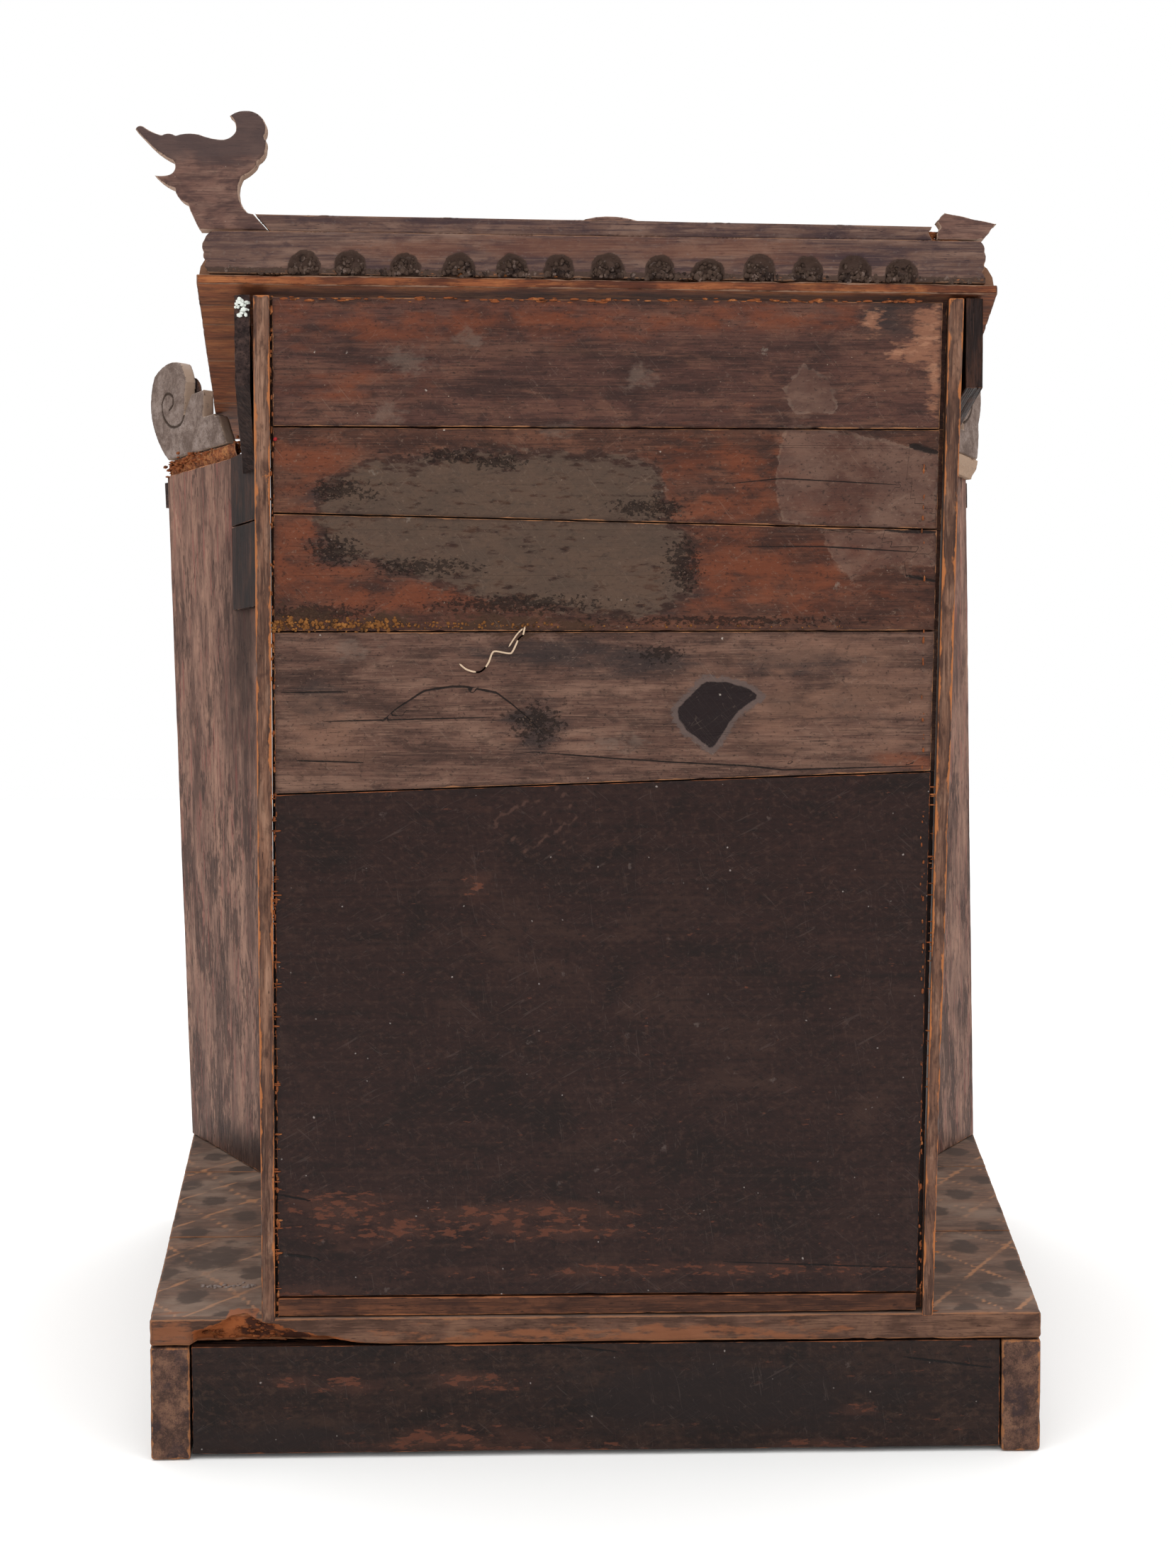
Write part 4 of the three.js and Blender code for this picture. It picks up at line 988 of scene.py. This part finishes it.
def make_plinth(kinds):
    """The plinth's two side boards, two rails and the three boards of its top."""
    for seed, side in enumerate(("left", "right"), 40):
        worn_board(f"base_side_board_{side}", kinds["side"], "aged_brown_wood", (2.0, 5, 2.4), seed, 1,
                   arris=2.6, ripple=0.6, fibre=0.2, chips=1.4)
    worn_board("base_back_rail", kinds["rail"], "blackened_wood", (2.6, 5, 2.0), 42, marks=rail_marks,
               arris=1.0, ripple=0.5)
    worn_board("base_front_rail", kinds["plain"], "blackened_wood", (5, 6, 4), 43, arris=1.0)
    for seed, (name, wear) in enumerate(TOP_BOARDS.items(), 44):
        worn_board(f"base_top_board_{name}", kinds["top"], "aged_brown_wood", seed=seed, marks=top_marks,
                   square=True, **wear)


# ---------------------------------------------------------------- wings
def facing_of(node, near):
    """The way that a node's large face nearest to that direction looks: the cross product of its
    largest triangle within about 25 degrees of it."""
    triangles = points_of(node)[triangles_of(node)]
    cross = np.cross(triangles[:, 1] - triangles[:, 0], triangles[:, 2] - triangles[:, 0])
    size = np.linalg.norm(cross, axis=1)
    return unit(cross[np.where(cross @ near > 0.9 * size, size, 0).argmax()])


def wing_basis(side):
    """Along the wing away from the niche, through it from the outer face, and up."""
    sign = -1 if side == "left" else 1
    inward = facing_of(f"wing_panel_{side}", unit([-0.83 * sign, 0.55, 0]))
    inward = unit(inward * [1, 1, 0])
    return np.array([[sign * inward[1], -sign * inward[0], 0], inward, [0, 0, 1]])


def scroll_plane(node, side):
    """The outline of a carved plate on a wing's top, its two faces' places and the plane it lies in."""
    face = facing_of(node, wing_basis(side)[1])
    upward = unit(np.array([0, 0, 1.0]) - face * face[2])
    basis = np.array([np.cross(upward, face), upward, face])
    depth = points_of(node) @ face
    return outline_of(node, basis), depth.min(), depth.max(), basis


# The incised spiral of the scrolls: how far in from the volute's tip and how high above the foot.
SPIRAL = [(53.1, 29.4), (45.8, 22.5), (31.6, 22.7), (20.6, 30.8), (18.5, 40.6), (25.3, 46.4), (34.1, 43.5),
          (35.1, 37.9), (29.5, 34.8)]
SPIRAL_DEPTH = 1.1


def make_scroll(kinds, side, basis, seed):
    """A carved plate with a spiral cut into its outer face, its inner end clear of the roof's edge."""
    node = f"wing_scroll_{side}"
    outline, low, high, plane = scroll_plane(node, side)
    outward = math.copysign(1, plane[0] @ basis[0])
    tip = (outline[:, 0] * outward).max()
    spiral = smoothed(SPIRAL)
    line = np.column_stack([(tip - spiral[:, 0]) * outward, outline[:, 1].min() + spiral[:, 1]])
    line = np.concatenate([line, line[::-1]])

    def cut_in(s, t, _):
        """The spiral's groove: full depth within 0.2 mm of its line, and none from 1.1 mm away."""
        return SPIRAL_DEPTH * ease(near_outline(np.column_stack([s, t]), line)[0], 1.1, 0.2)

    shell = plate(outline, low, high, plane, 0.85, 1.2, relief_low=cut_in)
    local = shell.points @ plane.T
    on_face = local[:, 2] < (low + high) / 2
    shell.marks["groove"] = ease(near_outline(local[:, :2], line)[0], 1.3, 0.5) * on_face
    piece(f"{node}_worn", weather(shell, seed), kinds["scroll"], "dusty_grey_wood", node)


HOLLOW = 0.42  # share of its width that a cap loses towards its foot


def make_cap(kinds, side, order, basis, seed):
    """The broken moulding on a wing: hollowed towards its foot, so that its top stands proud. The left
    one is torn down to raw wood."""
    node = f"wing_cap_{side}"
    corners = corners_of(node, order)
    corners[:, :, 0, 2] -= 2  # its ragged foot beds down on the wing
    middle = corners.reshape(-1, 3).mean(0)
    low, high = corners[..., 2].min(), corners[..., 2].max()

    def hollow(points):
        """Draws points in towards the cap's middle plane: by HOLLOW near its foot, not at all near its top."""
        share = (points[:, 2] - low) / (high - low)
        keep = 1 - HOLLOW * ease(share, 0.62, 0.1)
        through = (points - middle) @ basis[1]
        return points - basis[1] * (through * (1 - keep))[:, None]

    wear = {"left": dict(ripple=1.4, fibre=1.3, chips=3.2), "right": dict(ripple=0.6, fibre=0.5, chips=1.6)}
    shell = board(corners, (1.3, 1.3, 1.1), 1.1, seed, 0 if order is basis else 1, bend=hollow, **wear[side])
    shell.marks["pale"] = np.full(len(shell.points), float(side == "right"))
    # Painted shade: the left cap darkens within 3 mm of its foot, under its proud top.
    shell.marks["soot"] = ease(shell.points[:, 2], low + 3, low) * (side == "left")
    piece(f"{node}_worn", shell, kinds["cap"], "raw_orange_wood", node)


FRIEZE_FRONT = 7.6     # mm from the frieze's outer side to its strip on the wing's front face
FRIEZE_RETURN = 5.6    # mm of it beyond the wing's free edge


def make_frieze(kinds, side, order, basis, seed):
    """A strip along the front face of a wing's head and the short return round its free edge."""
    node = f"wing_frieze_{side}"
    corners = corners_of(node, order)
    thick, length = (1, 0) if order is basis else (0, 1)
    span = lengths_of(corners)
    strip = part_of(corners, thick, FRIEZE_FRONT / span[thick], 1)
    end = part_of(part_of(corners, thick, 0, FRIEZE_FRONT / span[thick] - 0.01), length,
                  1 - FRIEZE_RETURN / span[length], 1)
    shells = [board(part, (2, 2, 2), 0.7, seed + i, length, chips=0.8) for i, part in enumerate((strip, end))]
    piece(f"{node}_worn", shells, kinds["black"], "blackened_wood", node)


def make_wings(kinds):
    """Both wings from the foot up, the carved leaf, and the blocks in the corner by the left wing."""
    for side in ("left", "right"):
        seed = 50 + 5 * (side == "right")
        basis = wing_basis(side)
        order = basis if np.linalg.det(basis) > 0 else basis[[1, 0, 2]]

        def tool_marks(p):
            """Tool marks by chance, more of them below 330 mm, and two dark patches."""
            spots = rough_noise(p * [0.09, 0.09, 0.03] + seed, 5) + 0.3 * (p[:, 2] < 330)
            # Two dark patches: a tall narrow strip, and a wide band just above the plinth.
            near_top = spot_mark(p, (-225, 420, 12, 90), (-215, 80, 60, 14))
            return {"tool": np.clip(spots, 0, 1), "soot": near_top}

        worn_board(f"wing_panel_{side}", kinds["wing"], "red_stained_wood", (2.8, 2.8, 3.6), seed, 2, order,
                   tool_marks, arris=1.2, ripple=0.4, fibre=0.25, chips=0.9)
        make_cap(kinds, side, order, basis, seed + 1)
        make_frieze(kinds, side, order, basis, seed + 2)
        make_scroll(kinds, side, basis, seed + 3)
    outline, low, high, plane = scroll_plane("wing_leaf_left", "left")
    piece("wing_leaf_left_worn", weather(plate(outline, low, high, plane, 0.9, 2.4), 64), kinds["black"],
          "blackened_wood", "wing_leaf_left")
    for i, name in enumerate(("lower", "upper")):
        worn_board(f"corner_block_{name}", kinds["glue"], "blackened_wood", (1.6, 1.6, 1.8), 66 + i, 2,
                   arris=1.0, ripple=0.5, fibre=0.4, chips=1.2)


# ---------------------------------------------------------------- roof
def upright_plate(node, finish, slot, cell, rounding, seed, relief=None, from_front=False, marks=None,
                  drop=0.0, **grain):
    """A plate cut to the node's own outline in the upright plane; relief sinks its back face. The
    outline is read from the back, or from_front where the back is cut into, and drop lowers its foot."""
    facing = UPRIGHT * [[1], [1], [-1 if from_front else 1]]
    if from_front:
        facing[0] *= -1
    outline = outline_of(node, facing)
    if from_front:
        outline = (outline * [-1, 1])[::-1]
    middle = outline[:, 1].mean()
    outline[:, 1] -= drop * (outline[:, 1] < middle)
    depth = points_of(node) @ UPRIGHT[2]
    shell = plate(outline, depth.min(), depth.max(), UPRIGHT, cell, rounding, relief_high=relief)
    if marks:
        shell.marks.update(marks(shell.points))
    return piece(f"{node}_worn", weather(shell, seed, **grain), finish, slot, node)


# The middles of the thirteen mortises, which were chiselled by eye.
MORTISES = np.array([-140.7, -118, -92.5, -66.3, -41, -18, 4.7, 30.7, 54.1, 78.6, 102, 125.5, 148.1])
MORTISE_SIZE = (14.0, 11.0)
MORTISE_DEPTH = 3.2


def mortise_fields(x, z, foot):
    """For each point its depth inside the row of round-headed mortises, filled with lumpy ash, and how
    near it is to one, from 0 to 1."""
    number = np.abs(x[:, None] - MORTISES).argmin(1)
    wander = np.stack([noise(np.column_stack([number * 3.1, number * 0 + k, number * 0]), 90 + k)
                       for k in range(3)])
    half = MORTISE_SIZE[0] / 2 * (1 + 0.12 * wander[0])
    head = foot + MORTISE_SIZE[1] * (1 + 0.16 * wander[1]) - half
    across = x - MORTISES[number] - 0.6 * wander[2]
    away = np.hypot(across, np.maximum(z - head, 0))
    points = np.column_stack([x, z, z * 0])
    away = away + 0.9 * rough_noise(points / 2.5, 93)
    lumps = 1.3 * (0.5 + 0.5 * rough_noise(points / 2.2, 94))
    return ease(away - half, 0.5, -0.9) * (MORTISE_DEPTH - lumps), ease(away - half, 1.6, -0.6)


ROOF_TILT = 0.009            # the old roof sags towards its right end
FASCIA_GRAIN = (40, 20, 1.4)  # mm of one grain along X, Y and Z


def make_roof(kinds):
    """The fascia with its mortises, the ridge and what stands on it, and the roof's boards."""
    low, high = points_of("rear_fascia").min(0), points_of("rear_fascia").max(0)

    def fascia_relief(s, t, _):
        """How deep the mortises go at each place."""
        return mortise_fields(s, t, foot_line(s))[0]

    def foot_line(x):
        """The height of the fascia's foot at each X: it falls to the right by the roof's tilt."""
        return low[2] + (high[0] - x) * math.tan(ROOF_TILT)

    def fascia_marks(p):
        """Ash in the mortises and along the foot, red stain, and bare wood beside some mortises."""
        _, near = mortise_fields(p[:, 0], p[:, 2], foot_line(p[:, 0]))
        filler = ease(p[:, 2] - foot_line(p[:, 0]), 4.5, 1.5)
        return {"ash": np.maximum(near, 0.9 * filler),
                "red": spot_mark(p, (-20, 592, 40, 5), (60, 590, 50, 5), (-90, 590, 30, 4)),
                "bare": np.maximum(spot_mark(p, (-66, 580, 2.4, 2), (-44, 579, 2, 1.6), (-20, 579, 1.8, 1.5),
                                             (-92, 576, 2, 1.2)) * ease(p[:, 1], 0.5, 2),
                                   0.35 * ease(np.abs(p[:, 2] - foot_line(p[:, 0]) - 1.5), 2, 1))}

    upright_plate("rear_fascia", kinds["fascia"], "aged_brown_wood", 0.9, 0.5, 70, fascia_relief, True,
                  fascia_marks, ripple=0.4, fibre=0.35, grain=FASCIA_GRAIN)
    upright_plate("ridge_strip", kinds["fascia"], "aged_brown_wood", 0.9, 0.4, 71, drop=0.7,
                  ripple=0.3, fibre=0.3, grain=FASCIA_GRAIN)
    upright_plate("finial_left", kinds["finial"], "dusty_grey_wood", 0.7, 1.1, 72,
                  marks=lambda p: {"soot": ease(p[:, 2], 622, 642)}, ripple=0.3, fibre=0.15)
    upright_plate("finial_stub_right", kinds["finial"], "aged_brown_wood", 0.5, 0.8, 73,
                  ripple=0.6, fibre=0.4, grain=(20, 8, 1.2))
    upright_plate("roof_crest", kinds["finial"], "red_stained_wood", 0.9, 1.0, 74)
    for i in range(1, 6):
        cell = 2.6 if i == 1 else 5  # only the rear one is seen from near
        worn_board(f"soffit_board_{i}", kinds["soffit"], "raw_orange_wood", (cell, cell, 1.3), 75 + i,
                   arris=1.0, ripple=0.4, fibre=0.25, chips=1.0)
    for i in range(1, 5):
        worn_board(f"roof_board_{i}", kinds["plain"], "aged_brown_wood", (5, 4, 2), 82 + i, arris=0.8)
    worn_board("front_fascia", kinds["plain"], "aged_brown_wood", (3, 3, 2), 88, arris=0.9)


# ---------------------------------------------------------------- loose matter
# The thread's way down the planks, as x and z, and the patches of crust: x, z, half width, half height.
THREAD = [(-35, 409), (-36, 405), (-38, 403), (-41, 397), (-43, 396), (-49, 397), (-51, 396), (-53, 391),
          (-57, 387), (-63, 388), (-67, 391)]
GRAINS = [(-70, 492, 12, 3), (-49, 489, 10, 3), (-125, 475, 10, 5), (-128, 446, 10, 6), (-84, 438, 20, 4),
          (20, 467, 11, 3), (33, 466, 8, 4), (-38, 419, 34, 3), (45, 434, 5, 9), (-30, 363, 10, 6)]


def back_of(node):
    """How far back, in Y, a node's rear face lies."""
    return points_of(node)[:, 1].min()


def make_loose_matter(kinds):
    """Frass, splinters, ash, gesso and a cotton thread, stuck where they have gathered."""
    def stuck(name, shells, kind, slot):
        """One piece of loose matter, none of it further back than 0.2 mm inside the plinth's back."""
        for shell in shells if isinstance(shells, list) else [shells]:
            shell.points[:, 1] = np.maximum(shell.points[:, 1], 0.2)
        piece(name, shells, kinds[kind], slot)

    skin = back_of("back_plank_2")
    stuck("frass_on_ledge", [
        lumps(strewn(301, 210, (-158, -96), (406.5, 414), skin), 1.9, 302, 0.6),
        lumps(strewn(303, 120, (-96, -22), (407.5, 412), skin), 1.4, 304, 0.6),
        lumps(strewn(305, 60, (-22, 120), (408, 410.5), skin), 1.0, 306, 0.6)], "frass", "raw_orange_wood")
    stuck("crust_on_planks", [
        lumps(strewn(310 + i, 70, (x - a, x + a), (z - b, z + b), skin), 0.9, 330 + i, 0.5)
        for i, (x, z, a, b) in enumerate(GRAINS)], "ash", "blackened_wood")
    # Torn fibres in the upright joints beside the planks, and along the rail's ends.
    left = points_of("niche_wall_left")[:, 0].max()
    right = points_of("niche_wall_right")[:, 0].min()
    rail = points_of("base_back_rail")
    joints = [(left, 62, 565, 130), (right, 62, 500, 90)]
    shells = [lumps(strewn_upright(350 + i, count, (low, high), (x - 1.2, x + 1.2), skin),
                    (1.1, 1.1, 2.8), 360 + i, 0.6) for i, (x, low, high, count) in enumerate(joints)]
    shells += [lumps(strewn_upright(355 + i, 70, (2, 52), (x - 1, x + 1), rail[:, 1].min()),
                     (1.3, 1.2, 2.2), 365 + i, 0.5)
               for i, x in enumerate((rail[:, 0].min(), rail[:, 0].max()))]
    crown = points_of("back_plank_4")[:, 2].max()
    shells.append(lumps(strewn(358, 150, (left, right), (crown - 2.4, crown), skin),
                        (4.2, 1.2, 1.1), 359, 0.7))
    ends = points_of("back_lower_panel")
    for i, x in enumerate((ends[:, 0].min() + 2, ends[:, 0].max() - 2)):
        shells.append(lumps(strewn_upright(370 + i, 60, (70, 332), (x - 2, x + 2), ends[:, 1].min()),
                            (5.5, 0.9, 0.9), 375 + i, 0.6))
    tear = strewn(395, 260, (-197, -128), (57.5, 69), TEAR_DEPTH * 0.75, 2.0)
    tear = tear[tear[:, 2] < tear_edge(tear[:, 0]) - 0.6]
    shells.append(lumps(tear, (3.0, 1.6, 1.3), 396))
    stuck("fibres_in_joints", shells, "raw", "raw_orange_wood")
    # Filler, glue and soot in lumps along the foot of the fascia and in its mortises.
    face = points_of("rear_fascia")
    rear, low, high = face[:, 1].min(), face.min(0), face.max(0)
    band = strewn(380, 760, (low[0] + 8, high[0] - 8), (0, 4), rear + 0.8, 1.4)
    band[:, 2] += low[2] + (high[0] - band[:, 0]) * math.tan(ROOF_TILT)
    chance = np.random.default_rng(381)
    spread = chance.uniform(-1, 1, (13, 26, 2)) * [5.5, 3.6]
    holes = np.concatenate([MORTISES[:, None, None] + spread[..., :1], 0 * spread[..., :1] + rear + 3.0,
                            spread[..., 1:] + 5.2], axis=2).reshape(-1, 3)
    holes[:, 2] += low[2] + (high[0] - holes[:, 0]) * math.tan(ROOF_TILT)
    stuck("filler_under_roof", [lumps(band, 2.6, 382, 0.7), lumps(holes, 2.6, 383)], "ash",
          "blackened_wood")
    beam = points_of("side_beam_left")
    corner = beam[(beam[:, 2] - beam[:, 1] * 2).argmax()] + [-4.5, 0, -6.5]
    dab = corner + chance.normal(0, 1, (26, 3)) * [1.5, 0.3, 2.0]
    stuck("gesso_dab", lumps(dab, 2.2, 384, 0.4), "gesso", "dusty_grey_wood")
    dot = [(-155.4, skin - 0.1, 499.5)] * 3
    stuck("red_lead_dot", lumps(dot, 2.0, 385, 0.3), "red_dot", "red_stained_wood")
    cap = points_of("wing_cap_left")
    top = cap[cap[:, 2] > cap[:, 2].max() - 6]
    way = chance.uniform(0, 1, (240, 1))
    ragged = top[top[:, 0].argmin()] * way + top[top[:, 0].argmax()] * (1 - way)
    ragged = ragged + chance.normal(0, 1, (240, 3)) * [1.4, 1.4, 2.2]
    stuck("fibres_on_left_cap", lumps(ragged, (3.8, 2.6, 1.8), 386), "raw", "raw_orange_wood")
    thread = [(x, skin - 1.3 - 0.8 * math.sin(i), z) for i, (x, z) in enumerate(THREAD)]
    stuck("thread", strand(thread, 0.42), "cotton", "dusty_grey_wood")
    end = [(-36, skin - 1.6, 408), (-39, skin - 1.2, 405), (-43, skin - 1.4, 399)]
    stuck("thread_end", strand(end, 0.36), "cotton", "dusty_grey_wood")
    # The ridge splits away in light fibres where the right finial broke off.
    split = np.column_stack([chance.uniform(161, 176, 46), np.full(46, back_of("ridge_strip") + 4),
                             chance.uniform(595.5, 601, 46)])
    stuck("fibres_at_stub", lumps(split, (8, 5, 1.8), 387), "raw", "raw_orange_wood")
    plinth = points_of("base_top_board_rear")[:, 2].max()
    chance = np.random.default_rng(390)
    lint = np.column_stack([chance.uniform(-206, -176, 40), chance.normal(46, 2, 40),
                            np.full(40, plinth - 0.2)])
    stuck("lint_on_plinth", lumps(lint, (2.6, 2.2, 0.9), 391), "lint", "dusty_grey_wood")


def make_scene():
    """Every piece of the shrine; three hidden pieces keep their CAD mesh and get a material."""
    kinds = make_finishes()
    make_back(kinds)
    make_walls(kinds)
    make_plinth(kinds)
    make_wings(kinds)
    make_roof(kinds)
    make_loose_matter(kinds)
    for node in ("roof_moulding_left", "roof_moulding_right", "niche_front_lintel"):
        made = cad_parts[node]
        made.data.materials.clear()
        made.data.materials.append(kinds["plain"])


# ---------------------------------------------------------------- floor, light and camera
CAMERA_AT = (-20.2, -759.7, 354.9)  # mm in the shrine's own frame
CAMERA_YAW = math.radians(1.187)
CAMERA_DOWN = math.radians(1.697)
CAMERA_ROLL = math.radians(0.092)
LENS = 35.805  # mm, for a sensor 36 mm along its longer side


def make_camera():
    """The camera behind the shrine, turned a little to the right and tipped a little down."""
    data = bpy.data.cameras.new("camera")
    data.lens = LENS
    data.sensor_width = 36
    data.clip_end = 50
    camera = bpy.data.objects.new("camera", data)
    bpy.context.scene.collection.objects.link(camera)
    camera.location = (np.array(CAMERA_AT) + ORIGIN) * MM
    camera.rotation_mode = "XYZ"
    camera.rotation_euler = (math.pi / 2 - CAMERA_DOWN, CAMERA_ROLL, -CAMERA_YAW)
    bpy.context.scene.camera = camera


def make_studio():
    """A pale floor and three large soft lamps: one high, one at each side of the board back."""
    mesh = bpy.data.meshes.new("floor")
    mesh.from_pydata([(-8, -8, 0), (8, -8, 0), (8, 8, 0), (-8, 8, 0)], [], [(0, 1, 2, 3)])
    floor = bpy.data.objects.new("floor", mesh)
    bpy.context.scene.collection.objects.link(floor)
    paper = Finish("white_paper_sweep", "#fbfbfa", 0.95)
    mesh.materials.append(paper.done())
    lamps = (("lamp_left", (-1.9, -1.3, 1.3), 1.4, 11), ("lamp_right", (1.9, -1.3, 1.2), 1.4, 9.5),
             ("lamp_top", (0, -0.4, 2.4), 2.0, 12))
    for name, place, size, power in lamps:
        data = bpy.data.lights.new(name, "AREA")
        data.size = size
        data.energy = power
        lamp = bpy.data.objects.new(name, data)
        bpy.context.scene.collection.objects.link(lamp)
        lamp.location = place
        aim = np.array(place) - [0, 0, 0.3]
        lamp.rotation_euler = (math.atan2(math.hypot(aim[0], aim[1]), aim[2]), 0, math.atan2(aim[0], -aim[1]))
    world = bpy.data.worlds.new("studio")
    world.use_nodes = True
    bpy.context.scene.world = world
    tree = world.node_tree
    background = tree.nodes["Background"]
    background.inputs["Color"].default_value = (1, 1, 1, 1)
    # The dome is white overhead, dim at eye level, and plain white where the camera sees it.
    parts = add_node(tree, "SeparateXYZ", {0: add_node(tree, "TexCoord").outputs["Generated"]})
    dome = add_node(tree, "MapRange", {0: parts.outputs["Z"], 1: 0.0, 2: 0.6, 3: 0.3, 4: 1.3})
    seen = add_node(tree, "LightPath").outputs["Is Camera Ray"]
    strength = add_node(tree, "Mix", {0: seen, 2: dome.outputs[0], 3: 1.0})
    tree.links.new(strength.outputs[0], background.inputs["Strength"])
    bpy.context.scene.view_settings.view_transform = "Standard"


make_camera()
make_studio()
make_scene()
